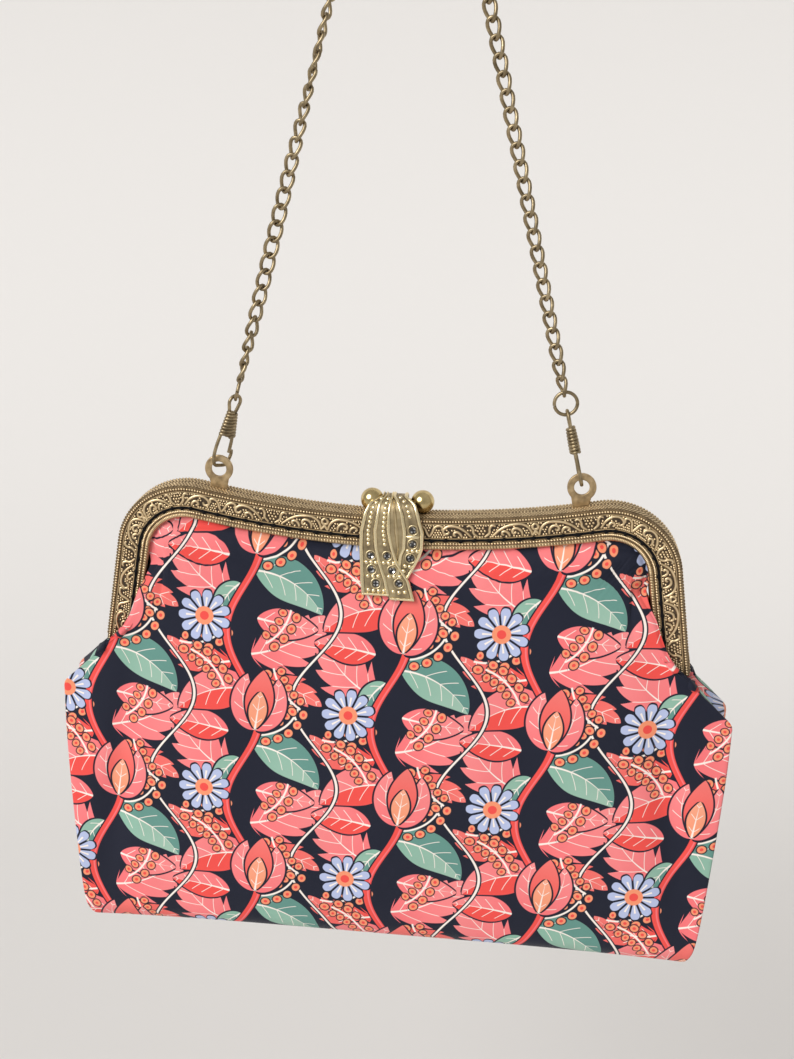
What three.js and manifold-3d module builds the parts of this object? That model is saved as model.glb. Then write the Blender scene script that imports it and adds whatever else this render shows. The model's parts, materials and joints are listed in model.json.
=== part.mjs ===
// A frame purse with a lift clasp, hanging by its chain.
// Millimetres, +Z up, front towards -Y. The origin is the point where the chain hangs on a peg.
// The purse is drawn in a group of its own, whose zero height is the top of the frame at the tabs.

import * as THREE from 'three';
import { mergeVertices } from 'three/addons/utils/BufferGeometryUtils.js';
import Module from 'manifold-3d';

// Frame: outline of the outer edge, seen from the front
const TOP_DIP = 5.2; // the top sags this far below the tabs at the middle
const TOP_RADIUS = 355; // of that hollow curve
const CORNER_RADIUS = 24.5;
const LEG_SPLAY = THREE.MathUtils.degToRad(9);
const LEG_HALF_WIDTH = 102.2; // half width over the legs at LEG_HEIGHT
const LEG_HEIGHT = -50;
const LEG_END = -57;

// Frame: section of one half, n inwards from the outer edge, y forwards from the parting plane
const PART_GAP = 0.15; // each half stops this far from the parting plane
const FACE = 5.2; // front of the scroll band
const FLANGE = 1.3; // wall of the top flange
const BAND = { from: 2.1, to: 7.0 }; // scroll band across the face
const FACE_WIDTH = 11.2;
const FRAME_SECTION = [
  { n: 0, y: PART_GAP },
  { n: 0, y: 4.7 },
  { n: 0.35, y: 5.5 },
  { n: 0.95, y: 5.8 }, // beaded outer edge
  { n: 1.55, y: 5.5 },
  { n: 1.9, y: FACE },
  { n: 7.2, y: FACE },
  { n: 7.5, y: 4.7 }, // stitch groove
  { n: 8.1, y: 4.7 },
  { n: 8.4, y: 5.3 },
  { n: 9.0, y: 5.7 }, // two inner rows
  { n: 9.6, y: 5.3 },
  { n: 10.2, y: 5.7 },
  { n: 10.8, y: 5.4 },
  { n: FACE_WIDTH, y: 5.0 },
  { n: FACE_WIDTH, y: 4.2 },
  { n: FLANGE, y: 4.0 },
  { n: FLANGE, y: PART_GAP },
];
const TOP_STEPS = 4;
const CORNER_STEPS = 8;
const SCROLL_COUNT = 8; // on each side of the middle
const SCROLL_START = 16; // clear of the clasp
const SCROLL = { height: 0.45, sink: 0.4, width: 0.95, tip: 0.45, margin: 0.2, steps: 6 };
// Middle line of one scroll: along the band in mm, across it as a share of its width
const SCROLL_LINE = [
  { along: -5.2, across: 0.95 },
  { along: -4.0, across: 0.35 },
  { along: -1.2, across: 0.08 },
  { along: 1.8, across: 0.22 },
  { along: 3.0, across: 0.6 },
  { along: 1.9, across: 0.9 },
  { along: 0.7, across: 0.66 },
];

// Rivets at the leg ends
const RIVET = { shank: 1.0, head: 2.6, headThick: 0.4, bore: 1.3, up: 4.2, gap: 0.2 };

// Loop tabs
const TAB_X = 62.2;
const TAB_HOLE_Z = 7.1;
const TAB = {
  ring: 4.9,
  hole: 2.6,
  neck: 5.8,
  thick: 1.3,
  y: 1.1,
  foot: 8.4,
  footThick: 1.0,
  drop: 1.3, // of the foot below the flange
  gap: 0.3,
};

// Ball finials and their pin
const BALL = { x: 8.7, radius: 4.0, y: 1.0, z: -0.95 };
const PIN_RADIUS = 0.9;
const NECK = { radius: 1.6, y: 2.1, gap: 0.3 };

// Clasp, with heights from its pin: profile of its back surface seen from the side, y forwards and z up
const CLASP_THICK = 1.2;
const CLASP_RIM = 0.4;
const CLASP_RIM_WIDTH = 1.0;
const CLASP_RIM_SHARE = 0.3; // of a narrow strip's width
const CLASP_FRONT = 0.07; // share of the profile's length that is curl
const CLASP_PROFILE = [
  { y: -2.25, z: -0.6 }, // curl behind the pin
  { y: -2.2, z: 0.6 },
  { y: -1.0, z: 1.35 },
  { y: 1.6, z: 1.3 },
  { y: 4.4, z: -0.5 },
  { y: 5.8, z: -4.3 },
  { y: 6.5, z: -10.0 },
  { y: 7.3, z: -18.0 },
  { y: 8.9, z: -27.0 },
  { y: 10.2, z: -32.6 },
];
// Stations along a strip, closer where it curls, and along the plain panel
const STRIP_SHARES = [0, 0.045, 0.09, 0.14, 0.19, 0.25, 0.33, 0.45, 0.62, 0.8, 1];
const PANEL_SHARES = [0, 0.15, 0.35, 0.6, 0.85, 1];
// Edges of the three strips and the almond panel, by height on the front
const STRIPS = {
  left: [
    { z: 1.2, from: -4.7, to: -3.2 },
    { z: 0.6, from: -6.9, to: -4.3 },
    { z: -0.4, from: -9.3, to: -4.8 },
    { z: -2.7, from: -10.6, to: -5.2 },
    { z: -8.5, from: -11.85, to: -6.0 },
    { z: -14.2, from: -11.9, to: -5.55 },
    { z: -20, from: -11.5, to: -4.2 },
    { z: -25.7, from: -11.15, to: -2.05 },
    { z: -31.0, from: -10.5, to: -0.75 },
  ],
  middle: [
    { z: 1.2, from: -3.4, to: -1.2 },
    { z: 0.6, from: -4.5, to: -1.3 },
    { z: -0.4, from: -5.0, to: -1.35 },
    { z: -2.7, from: -5.4, to: -1.6 },
    { z: -8.5, from: -6.2, to: -1.45 },
    { z: -14.2, from: -5.75, to: -0.2 },
    { z: -20, from: -4.4, to: 1.8 },
    { z: -25.7, from: -2.25, to: 5.8 },
    { z: -32.2, from: -0.9, to: 7.9 },
  ],
  almond: [
    { z: 0.6, from: -1.5, to: -0.2 },
    { z: -0.4, from: -1.55, to: 0.7 },
    { z: -2.7, from: -1.8, to: 1.8 },
    { z: -8.5, from: -1.65, to: 3.0 },
    { z: -14.2, from: -0.4, to: 2.95 },
    { z: -17, from: 0.6, to: 1.9 },
  ],
  right: [
    { z: 1.2, from: -1.4, to: 3.8 },
    { z: 0.6, from: -0.4, to: 5.4 },
    { z: -0.4, from: 0.5, to: 7.1 },
    { z: -2.7, from: 1.6, to: 8.1 },
    { z: -8.5, from: 2.8, to: 10.0 },
    { z: -14.2, from: 2.75, to: 10.0 },
    { z: -17, from: 1.7, to: 9.2 },
    { z: -20, from: 1.4, to: 7.8 },
    { z: -24.6, from: 1.0, to: 5.4 },
  ],
};
const STONES = [
  { x: -7.8, z: -17.3 },
  { x: -7.35, z: -22.2 },
  { x: -5.7, z: -26.9 },
  { x: -2.2, z: -17.3 },
  { x: -0.3, z: -22.15 },
  { x: 2.2, z: -26.5 },
  { x: 6.3, z: -7.8 },
  { x: 6.35, z: -12.6 },
  { x: 5.75, z: -17.6 },
];
const STONE = { radius: 1.55, table: 0.95, crown: 0.75, pavilion: 0.8, sides: 10, gap: 0.15 };

// Snap hooks, jump rings and chain, set out along the chain's line from the tab's hole
const CHAIN_LEAN = THREE.MathUtils.degToRad(14.1);
const WIRE = 0.6; // radius of the hooks' and rings' wire
const HOOK = {
  coilFrom: 11.6,
  coilTo: 21.6,
  coilWide: 3.6,
  coilNarrow: 2.1,
  flatFoot: 0.54, // thickness of the oval coil, as a share of its width
  flatTop: 0.8,
  groove: 0.3,
  turns: 6,
  loop: 2.35,
  loopAt: 24.5,
};
// Half of the bow and of the loop at the top: d out from the middle line, z up the hook
const BOW_LINE = [
  { d: 0, z: 1.25 },
  { d: 1.0, z: 1.25 },
  { d: 2.0, z: 1.35 },
  { d: 2.9, z: 2.3 },
  { d: 3.5, z: 4.0 },
  { d: 3.7, z: 6.0 },
  { d: 3.5, z: 9.0 },
  { d: 2.9, z: 12.6 },
];
const LOOP_LEG = [
  { d: 1.3, z: 20.8 },
  { d: 2.0, z: 23.0 },
];
const HOOK_TURN = { left: THREE.MathUtils.degToRad(-38), right: THREE.MathUtils.degToRad(4) };
const RING_TURN = { left: THREE.MathUtils.degToRad(100), right: THREE.MathUtils.degToRad(4) };
const JUMP_RING = 3.8; // mean radius
const CHAIN_RADIUS = 2.5;
const PEG_RADIUS = 2.5;
const CHAIN_GAP = 0.3;
const LINK_GAP = 0.1; // between a hook's loop and its jump ring
const RUN_STEPS = 4;
const BEND_STEPS = 8;

// Cloth pouch: walls, and the columns of its front panel from the middle to the side seam.
// share: how far out, of the half width; tuck and depth: place of the top edge in the frame's section
const CLOTH = 1.5;
const SEAM_GAP = 0.15;
const CLOTH_COLUMNS = [
  { share: 0, tuck: 8.8, depth: 3.7 },
  { share: 0.2, tuck: 8.8, depth: 3.7 },
  { share: 0.4, tuck: 8.8, depth: 3.7 },
  { share: 0.58, tuck: 8.8, depth: 3.7 },
  { share: 0.72, tuck: 8.8, depth: 3.7 },
  { share: 0.76, tuck: 12.2, depth: 4.0 },
  { share: 0.79, tuck: 11.8, depth: 7.0 },
  { share: 0.83, tuck: 9.8, depth: 7.9 },
  { share: 0.87, tuck: 8.6, depth: 8.1 },
  { share: 0.91, tuck: 7.0, depth: 8.2 },
  { share: 0.95, tuck: 4.2, depth: 8.4 },
  { share: 0.985, tuck: -0.6, depth: 8.6 },
  { share: 1, tuck: -2.4, depth: 7.4 },
];
const BELOW_LEG = 3; // the top edge ends this far below the leg
const CORNER_SHARE = 0.985; // the front edge of the side, beside the seam
// Rows that come out from under the frame's lip: further in, and further forward, fading over the legs
const LIP_ROWS = [
  { inwards: 0, forward: 0 },
  { inwards: 3.2, forward: 0.1 },
  { inwards: 4.8, forward: 1.9 },
  { inwards: 8.0, forward: 3.6 },
];
const LIP_FADE = 0.15; // share of that movement that is left in front of the legs
const OVER_LEG = { from: 0.71, to: 0.83 }; // where the cloth comes to lie in front of the leg
const SEAM_TOP = { x: 104.6, below: 4.6 }; // head of the side seam, below the leg's end
// Rows of the free cloth, top to bottom: heights at the middle and the side, half width and depth at the
// side's front edge, half width at the seam, depth at the middle
const CLOTH_ROWS = [
  { middle: -33, side: -62.5, wide: 107.5, edge: 8.8, seam: 106.5, belly: 9.6 },
  { middle: -46, side: -68.0, wide: 113.5, edge: 8.4, seam: 111.5, belly: 11.8 },
  { middle: -62, side: -75.0, wide: 119.2, edge: 8.0, seam: 115.5, belly: 14.2 },
  { middle: -82, side: -88, wide: 119.0, edge: 9.0, seam: 112.0, belly: 16.8 },
  { middle: -106, side: -109, wide: 117.8, edge: 11.5, seam: 109.5, belly: 18.8 },
  { middle: -130, side: -132, wide: 116.2, edge: 13.5, seam: 108.5, belly: 19.8 },
  { middle: -149, side: -151, wide: 114.6, edge: 15.0, seam: 109.0, belly: 19.8 },
  { middle: -159, side: -161.2, wide: 113.2, edge: 15.5, seam: 109.6, belly: 18.8 },
  { middle: -164.2, side: -167.2, wide: 111.0, edge: 13.5, seam: 109.0, belly: 16.0 },
  { middle: -166.6, side: -170.0, wide: 108.8, edge: 9.0, seam: 107.8, belly: 11.0 },
  { middle: -167.4, side: -171.1, wide: 107.2, edge: 4.0, seam: 106.8, belly: 5.0 },
  { middle: -167.6, side: -171.5, wide: 106.0, edge: SEAM_GAP, seam: 106.0, belly: SEAM_GAP },
];
const FACE_ROUNDNESS = 2.4; // how square the pouch is across
const SIDE_DROP = 3; // how late the rows fall towards the sides
// Main folds of the front and back: a soft groove from one point to another, fading at its ends
const FOLD_END = 0.08;
const FOLDS = [
  { x0: 92, z0: -60, x1: 106, z1: -150, wide: 6, deep: 2.0 },
  { x0: -92, z0: -60, x1: -105, z1: -150, wide: 6, deep: 2.0 },
  { x0: 40, z0: -40, x1: 52, z1: -120, wide: 11, deep: 1.3 },
  { x0: -36, z0: -40, x1: -46, z1: -120, wide: 11, deep: 1.3 },
];

const CUT_OVER = 2; // how far a cutting body reaches past what it cuts
const WELD = 1e-4; // points closer than this are one
const ROUND_SIDES = { rivet: 8, pin: 12, neck: 10, ball: 12, tab: 10, coil: 8, wire: 6, chain: 8 };
const RING_STEPS = { loop: 8, jumpRing: 12 };

const COLOURS = { bronze: 0xa89262, darkBronze: 0x6b5a3c, cloth: 0xc96f6c, stone: 0x17171c };

const wasm = await Module();
wasm.setup();

// Joining and cutting
function solidOf(geometry) {
  const bare = geometry.index ? geometry.toNonIndexed() : geometry.clone();
  const merged = mergedGeometry(bare);
  return new wasm.Manifold(new wasm.Mesh({
    numProp: 3,
    vertProperties: new Float32Array(merged.attributes.position.array),
    triVerts: new Uint32Array(merged.index.array),
  }));
}

function geometryOf(solid) {
  const mesh = solid.getMesh();
  const geometry = new THREE.BufferGeometry();
  geometry.setAttribute('position', new THREE.BufferAttribute(mesh.vertProperties, 3));
  geometry.setIndex(new THREE.BufferAttribute(mesh.triVerts, 1));
  return geometry;
}

function join(geometries) {
  return geometries.map(solidOf).reduce((whole, next) => whole.add(next));
}

function meshGeometry(points, triangles) {
  const geometry = new THREE.BufferGeometry();
  const numbers = points.flatMap((p) => [p.x, p.y, p.z]);
  geometry.setAttribute('position', new THREE.Float32BufferAttribute(numbers, 3));
  geometry.setIndex(triangles);
  return geometry;
}

// A closed body through equal loops of points, with flat ends; loops run anticlockwise seen from the end
function loft(loops) {
  const size = loops[0].length;
  const triangles = [];
  for (let i = 0; i + 1 < loops.length; i += 1) {
    for (let j = 0; j < size; j += 1) {
      const k = (j + 1) % size;
      const [a, b, c, d] = [i * size + j, i * size + k, (i + 1) * size + k, (i + 1) * size + j];
      triangles.push(a, b, c, a, c, d);
    }
  }
  const flat = endOutline(loops[0]);
  const last = (loops.length - 1) * size;
  const turn = Math.sign(THREE.ShapeUtils.area(flat));
  for (const [a, b, c] of THREE.ShapeUtils.triangulateShape(flat, [])) {
    const same = Math.sign(THREE.ShapeUtils.area([flat[a], flat[b], flat[c]])) === turn;
    const [p, q] = same ? [b, c] : [c, b];
    triangles.push(a, q, p, last + a, last + p, last + q);
  }
  return facingOut(meshGeometry(loops.flat(), triangles));
}

// The first loop laid flat in its own plane
function endOutline(loop) {
  const origin = loop[0];
  const along = new THREE.Vector3().subVectors(loop[1], origin).normalize();
  let normal = new THREE.Vector3();
  for (let i = 2; i < loop.length; i += 1) {
    const turn = new THREE.Vector3().subVectors(loop[i], origin).cross(along);
    if (turn.length() > normal.length()) normal = turn;
  }
  const across = new THREE.Vector3().crossVectors(normal.normalize(), along);
  return loop.map((p) => {
    const offset = new THREE.Vector3().subVectors(p, origin);
    return new THREE.Vector2(offset.dot(along), offset.dot(across));
  });
}

function facingOut(geometry) {
  const p = geometry.attributes.position;
  const index = geometry.index.array;
  const [a, b, c] = [new THREE.Vector3(), new THREE.Vector3(), new THREE.Vector3()];
  let volume = 0;
  for (let i = 0; i < index.length; i += 3) {
    a.fromBufferAttribute(p, index[i]);
    b.fromBufferAttribute(p, index[i + 1]);
    c.fromBufferAttribute(p, index[i + 2]);
    volume += a.dot(b.clone().cross(c));
  }
  if (volume < 0) {
    for (let i = 0; i < index.length; i += 3) [index[i + 1], index[i + 2]] = [index[i + 2], index[i + 1]];
  }
  return geometry;
}

const lerp = THREE.MathUtils.lerp;

// Value of a table's column at a height, between its rows
function tableAt(rows, column, z) {
  if (z >= rows[0].z) return rows[0][column];
  for (let i = 0; i + 1 < rows.length; i += 1) {
    if (z >= rows[i + 1].z) {
      return lerp(rows[i][column], rows[i + 1][column], (rows[i].z - z) / (rows[i].z - rows[i + 1].z));
    }
  }
  return rows[rows.length - 1][column];
}

// Outer edge of the frame: hollow top, round corner, straight leg, all tangent
const frameLine = (() => {
  const top = new THREE.Vector2(0, TOP_RADIUS - TOP_DIP);
  const outward = new THREE.Vector2(Math.cos(LEG_SPLAY), Math.sin(LEG_SPLAY));
  const legReach = LEG_HALF_WIDTH * outward.x + LEG_HEIGHT * outward.y - CORNER_RADIUS;
  const apart = TOP_RADIUS + CORNER_RADIUS;
  const height = outward.y * legReach + outward.x ** 2 * top.y
    - outward.x * Math.sqrt(apart ** 2 - (legReach - outward.y * top.y) ** 2);
  const corner = new THREE.Vector2((legReach - outward.y * height) / outward.x, height);
  const rise = Math.atan2(corner.x, top.y - corner.y);
  const topLength = TOP_RADIUS * rise;
  const turn = rise + Math.PI / 2 - LEG_SPLAY;
  const cornerEnd = topLength + CORNER_RADIUS * turn;
  const legTop = corner.clone().addScaledVector(outward, CORNER_RADIUS);
  const length = cornerEnd + (legTop.y - LEG_END) / Math.cos(LEG_SPLAY);
  return { top, corner, rise, topLength, turn, cornerEnd, legTop, length };
})();

// Point of the face at s along the outer edge from the middle and n inwards, with the edge's direction
function framePoint(s, n) {
  const line = frameLine;
  const side = Math.sign(s) || 1;
  const along = Math.abs(s);
  let angle = along / TOP_RADIUS;
  let edge = new THREE.Vector2(Math.sin(angle), -Math.cos(angle)).multiplyScalar(TOP_RADIUS).add(line.top);
  if (along > line.topLength) {
    angle = line.rise - Math.min((along - line.topLength) / CORNER_RADIUS, line.turn);
    const out = new THREE.Vector2(-Math.sin(angle), Math.cos(angle));
    edge = line.corner.clone().addScaledVector(out, CORNER_RADIUS);
  }
  if (along > line.cornerEnd) {
    const down = along - line.cornerEnd;
    edge = line.legTop.clone().addScaledVector(new THREE.Vector2(Math.cos(angle), Math.sin(angle)), down);
  }
  return {
    x: side * (edge.x + n * Math.sin(angle)),
    z: edge.y - n * Math.cos(angle),
    angle: side * angle,
  };
}

function frameStations() {
  const { topLength, cornerEnd, length } = frameLine;
  const right = [];
  for (let i = 1; i <= TOP_STEPS; i += 1) right.push((topLength * i) / TOP_STEPS);
  for (let i = 1; i <= CORNER_STEPS; i += 1) right.push(lerp(topLength, cornerEnd, i / CORNER_STEPS));
  right.push(length);
  return [...right.map((s) => -s).reverse(), 0, ...right];
}

// One raised scroll of the stamped band: an arch that curls in at its end
function scrollGeometry(centre, mirrored, front) {
  const reach = mirrored ? -1 : 1;
  const rise = BAND.to - BAND.from;
  const spine = new THREE.CatmullRomCurve3(SCROLL_LINE.map((p) => new THREE.Vector3(p.along, p.across, 0)));
  const [upper, lower] = [[], []];
  for (let i = 0; i <= SCROLL.steps; i += 1) {
    const at = spine.getPoint(i / SCROLL.steps);
    const tangent = spine.getTangent(i / SCROLL.steps);
    const across = new THREE.Vector2(-tangent.y * rise, tangent.x).normalize();
    const half = (SCROLL.width / 2) * (i === 0 || i === SCROLL.steps ? SCROLL.tip : 1);
    const middle = new THREE.Vector2(at.x, BAND.from + SCROLL.margin + at.y * (rise - 2 * SCROLL.margin));
    upper.push(middle.clone().addScaledVector(across, half));
    lower.push(middle.clone().addScaledVector(across, -half));
  }
  const outline = [...upper, ...lower.reverse()].map((p) => framePoint(centre + reach * p.x, p.y));
  return loft([FACE - SCROLL.sink, FACE + SCROLL.height].map((y) => outline.map(
    (p) => new THREE.Vector3(p.x, front * -y, p.z),
  )));
}

// front is 1 for the front half and -1 for the rear half
function halfFrame(front) {
  const loops = frameStations().map((s) => FRAME_SECTION.map(({ n, y }) => {
    const p = framePoint(s, n);
    return new THREE.Vector3(p.x, -front * y, p.z);
  }));
  const pieces = [loft(loops)];
  const pitch = (frameLine.length - SCROLL_START) / SCROLL_COUNT;
  for (let i = 0; i < SCROLL_COUNT; i += 1) {
    const centre = SCROLL_START + pitch * (i + 0.5);
    pieces.push(scrollGeometry(centre, i % 2 === 1, front), scrollGeometry(-centre, i % 2 === 0, front));
  }
  let solid = join(pieces);
  for (const side of [-1, 1]) solid = solid.subtract(solidOf(rivetGeometry(side, RIVET.bore - RIVET.shank)));
  return solid;
}

// Rivet through the leg ends, square to the leg's outer wall; grown gives the hole around its shank
function rivetGeometry(side, grown = 0) {
  const { shank, head, headThick, gap, up } = RIVET;
  const reach = FLANGE + gap;
  const profile = grown
    ? [[0, -CUT_OVER], [shank + grown, -CUT_OVER], [shank + grown, reach + CUT_OVER], [0, reach + CUT_OVER]]
    : [[0, -gap - headThick], [head, -gap - headThick], [head, -gap], [shank, -gap], [shank, reach],
      [head, reach], [head, reach + headThick], [0, reach + headThick]];
  const points = profile.map(([r, h]) => new THREE.Vector2(r, h));
  const geometry = new THREE.LatheGeometry(points, ROUND_SIDES.rivet);
  const place = framePoint(side * (frameLine.length - up), 0);
  const inwards = new THREE.Vector3(-side * Math.cos(LEG_SPLAY), 0, -Math.sin(LEG_SPLAY));
  geometry.applyQuaternion(new THREE.Quaternion().setFromUnitVectors(new THREE.Vector3(0, 1, 0), inwards));
  return facingOut(mergedGeometry(geometry.translate(place.x, 0, place.z)));
}

function mergedGeometry(geometry) {
  for (const name of Object.keys(geometry.attributes)) {
    if (name !== 'position') geometry.deleteAttribute(name);
  }
  return mergeVertices(geometry, WELD);
}

function tabTopHeight() {
  let s = TAB_X;
  for (let i = 0; i < 20; i += 1) s += TAB_X - framePoint(s, 0).x;
  return framePoint(s, 0).z;
}

// Flat loop tab: ring, neck and a wider foot under the flange
function tabGeometry(side) {
  const flangeTop = tabTopHeight();
  const footTop = flangeTop - FLANGE - TAB.drop;
  const shape = new THREE.Shape();
  const waist = Math.asin(TAB.neck / 2 / TAB.ring);
  shape.moveTo(-TAB.neck / 2, footTop);
  shape.lineTo(-TAB.foot / 2, footTop);
  shape.lineTo(-TAB.foot / 2, footTop - TAB.footThick);
  shape.lineTo(TAB.foot / 2, footTop - TAB.footThick);
  shape.lineTo(TAB.foot / 2, footTop);
  shape.lineTo(TAB.neck / 2, footTop);
  shape.absarc(0, TAB_HOLE_Z, TAB.ring, -Math.PI / 2 + waist, 1.5 * Math.PI - waist, false);
  shape.holes.push(new THREE.Path().absarc(0, TAB_HOLE_Z, TAB.hole, 0, 2 * Math.PI, true));
  const geometry = new THREE.ExtrudeGeometry(shape, {
    depth: TAB.thick,
    bevelEnabled: false,
    curveSegments: ROUND_SIDES.tab,
  });
  geometry.rotateX(Math.PI / 2);
  return geometry.translate(side * TAB_X, TAB.y + TAB.thick / 2, 0);
}

// Room for the tab's neck in the rear half's flange, open towards the parting plane
function tabSlot(side) {
  const back = TAB.y + TAB.thick / 2 + TAB.gap;
  const height = 2 * (FLANGE + CUT_OVER);
  const geometry = new THREE.BoxGeometry(TAB.neck + 2 * TAB.gap, back + CUT_OVER, height);
  return geometry.translate(side * TAB_X, (back - CUT_OVER) / 2, tabTopHeight());
}

// Balls on the ends of the clasp's pin, with a neck under each that stands on the rear half
function ballBarGeometry() {
  const pieces = [];
  const pin = new THREE.CylinderGeometry(PIN_RADIUS, PIN_RADIUS, 2 * BALL.x, ROUND_SIDES.pin);
  pieces.push(pin.rotateZ(Math.PI / 2).translate(0, BALL.y, BALL.z));
  for (const side of [-1, 1]) {
    const ball = new THREE.SphereGeometry(BALL.radius, ROUND_SIDES.ball, ROUND_SIDES.ball * 2 / 3);
    pieces.push(ball.rotateX(Math.PI / 2).translate(side * BALL.x, BALL.y, BALL.z));
    const foot = framePoint(BALL.x + NECK.radius, 0).z + NECK.gap;
    const height = BALL.z - foot;
    const neck = new THREE.CylinderGeometry(NECK.radius, NECK.radius, height, ROUND_SIDES.neck);
    pieces.push(neck.rotateX(Math.PI / 2).translate(side * BALL.x, NECK.y, foot + height / 2));
  }
  return geometryOf(join(pieces));
}

// Clasp: a smooth profile, and its place and outward direction at any share of its length
const claspCurve = new THREE.CatmullRomCurve3(
  CLASP_PROFILE.map(({ y, z }) => new THREE.Vector3(0, -y, z)), false, 'centripetal',
);

function claspFrame(share) {
  const tangent = claspCurve.getTangentAt(share);
  return { at: claspCurve.getPointAt(share), out: new THREE.Vector3(0, tangent.z, -tangent.y) };
}

// Share of the profile's length where its front comes down to a height
function claspShare(z) {
  let [low, high] = [CLASP_FRONT, 1];
  for (let i = 0; i < 30; i += 1) {
    const middle = (low + high) / 2;
    if (claspCurve.getPointAt(middle).z > z) low = middle;
    else high = middle;
  }
  return low;
}

// One strip, with a raised rim along both edges, or a low crown for the plain panel
function stripGeometry(rows, crowned) {
  const topShare = claspShare(rows[0].z);
  const endShare = claspShare(rows[rows.length - 1].z);
  const stations = crowned
    ? PANEL_SHARES.map((share) => lerp(topShare, endShare, share))
    : STRIP_SHARES.map((share) => share * endShare);
  const loops = stations.map((station) => {
    const { at, out } = claspFrame(station);
    const front = station > topShare ? at.z : rows[0].z;
    const from = tableAt(rows, 'from', front);
    const to = tableAt(rows, 'to', front);
    const rim = Math.min(CLASP_RIM_WIDTH, (to - from) * CLASP_RIM_SHARE);
    const high = CLASP_THICK + CLASP_RIM;
    const across = crowned
      ? [[from, 0], [from, CLASP_THICK], [(from + to) / 2, high], [to, CLASP_THICK], [to, 0]]
      : [[from, 0], [from, high], [from + rim, high], [from + rim, CLASP_THICK],
        [to - rim, CLASP_THICK], [to - rim, high], [to, high], [to, 0]];
    return across.map(([x, h]) => new THREE.Vector3(x, at.y + out.y * h, at.z + out.z * h));
  });
  return loft(loops);
}

function stonePlace({ x, z }) {
  const { at, out } = claspFrame(claspShare(z));
  const turn = new THREE.Quaternion().setFromUnitVectors(new THREE.Vector3(0, 1, 0), out);
  return { position: at.clone().addScaledVector(out, CLASP_THICK).setX(x), turn };
}

// Round cut stone about its girdle: table, crown facets and pavilion; grown gives its seat
function stoneGeometry(place, grown = 0) {
  const { radius, table, crown, pavilion, sides } = STONE;
  const profile = [[0, -pavilion - grown], [radius + grown, 0]];
  if (grown) profile.push([radius + grown, CUT_OVER], [0, CUT_OVER]);
  else profile.push([table, crown], [0, crown]);
  const geometry = new THREE.LatheGeometry(profile.map(([r, h]) => new THREE.Vector2(r, h)), sides);
  const { position, turn } = stonePlace(place);
  geometry.applyQuaternion(turn).translate(position.x, position.y, position.z);
  return facingOut(mergedGeometry(geometry));
}

function claspGeometry() {
  const strips = [STRIPS.left, STRIPS.middle, STRIPS.right].map((rows) => stripGeometry(rows, false));
  let solid = join([...strips, stripGeometry(STRIPS.almond, true)]);
  for (const place of STONES) solid = solid.subtract(solidOf(stoneGeometry(place, STONE.gap)));
  return geometryOf(solid);
}

// Wire bent along a path
class Route extends THREE.Curve {
  constructor(points) {
    super();
    this.points = points;
  }

  getPoint(t, target = new THREE.Vector3()) {
    const place = t * (this.points.length - 1);
    const i = Math.min(Math.floor(place), this.points.length - 2);
    return target.copy(this.points[i]).lerp(this.points[i + 1], place - i);
  }

  getPointAt(t, target) {
    return this.getPoint(t, target);
  }

  getTangentAt(t, target = new THREE.Vector3()) {
    const last = this.points.length - 1;
    const i = Math.round(t * last);
    return target.subVectors(this.points[Math.min(i + 1, last)], this.points[Math.max(i - 1, 0)]).normalize();
  }
}

function wireGeometry(points, radius, sides) {
  const circle = new THREE.EllipseCurve(0, 0, radius, radius);
  const section = new THREE.Shape(circle.getPoints(sides).slice(0, sides));
  return new THREE.ExtrudeGeometry(section, { steps: points.length - 1, extrudePath: new Route(points) });
}

// Snap hook along +Z from the tab's hole: bow through the hole, flat wound coil, loop at the top
function hookGeometry() {
  const { coilFrom, coilTo, turns, loop, loopAt } = HOOK;
  const bow = mirrored(BOW_LINE.map(({ d, z }) => new THREE.Vector3(0, d, z)));
  const half = [];
  for (let i = 0; i <= RING_STEPS.loop / 2; i += 1) {
    const angle = Math.PI / 2 * (1 - i / (RING_STEPS.loop / 2));
    half.push(new THREE.Vector3(0, loop * Math.cos(angle), loopAt + loop * Math.sin(angle)));
  }
  const legs = LOOP_LEG.map(({ d, z }) => new THREE.Vector3(0, d, z)).reverse();
  const profile = [new THREE.Vector2(0, coilFrom)];
  for (let i = 0; i <= 2 * turns; i += 1) {
    const share = i / (2 * turns);
    const radius = lerp(HOOK.coilWide, HOOK.coilNarrow, share) - (i % 2 === 0 ? HOOK.groove : 0);
    profile.push(new THREE.Vector2(radius, lerp(coilFrom, coilTo, share)));
  }
  profile.push(new THREE.Vector2(0, coilTo));
  const coil = mergedGeometry(new THREE.LatheGeometry(profile, ROUND_SIDES.coil).rotateX(Math.PI / 2));
  const points = coil.attributes.position;
  for (let i = 0; i < points.count; i += 1) {
    const share = (points.getZ(i) - coilFrom) / (coilTo - coilFrom);
    points.setX(i, points.getX(i) * lerp(HOOK.flatFoot, HOOK.flatTop, share));
  }
  const wires = [bow, mirrored([...half, ...legs])].map((line) => wireGeometry(line, WIRE, ROUND_SIDES.wire));
  return geometryOf(join([...wires, facingOut(coil)]));
}

// A line from its middle point outwards, with its other half on the far side
function mirrored(half) {
  const other = half.slice(1).map((p) => new THREE.Vector3(p.x, -p.y, p.z)).reverse();
  return [...other, ...half];
}

const RING_AT = HOOK.loopAt + HOOK.loop - 2 * WIRE - LINK_GAP + JUMP_RING;
const CHAIN_START = RING_AT + JUMP_RING + WIRE + CHAIN_GAP;

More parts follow.
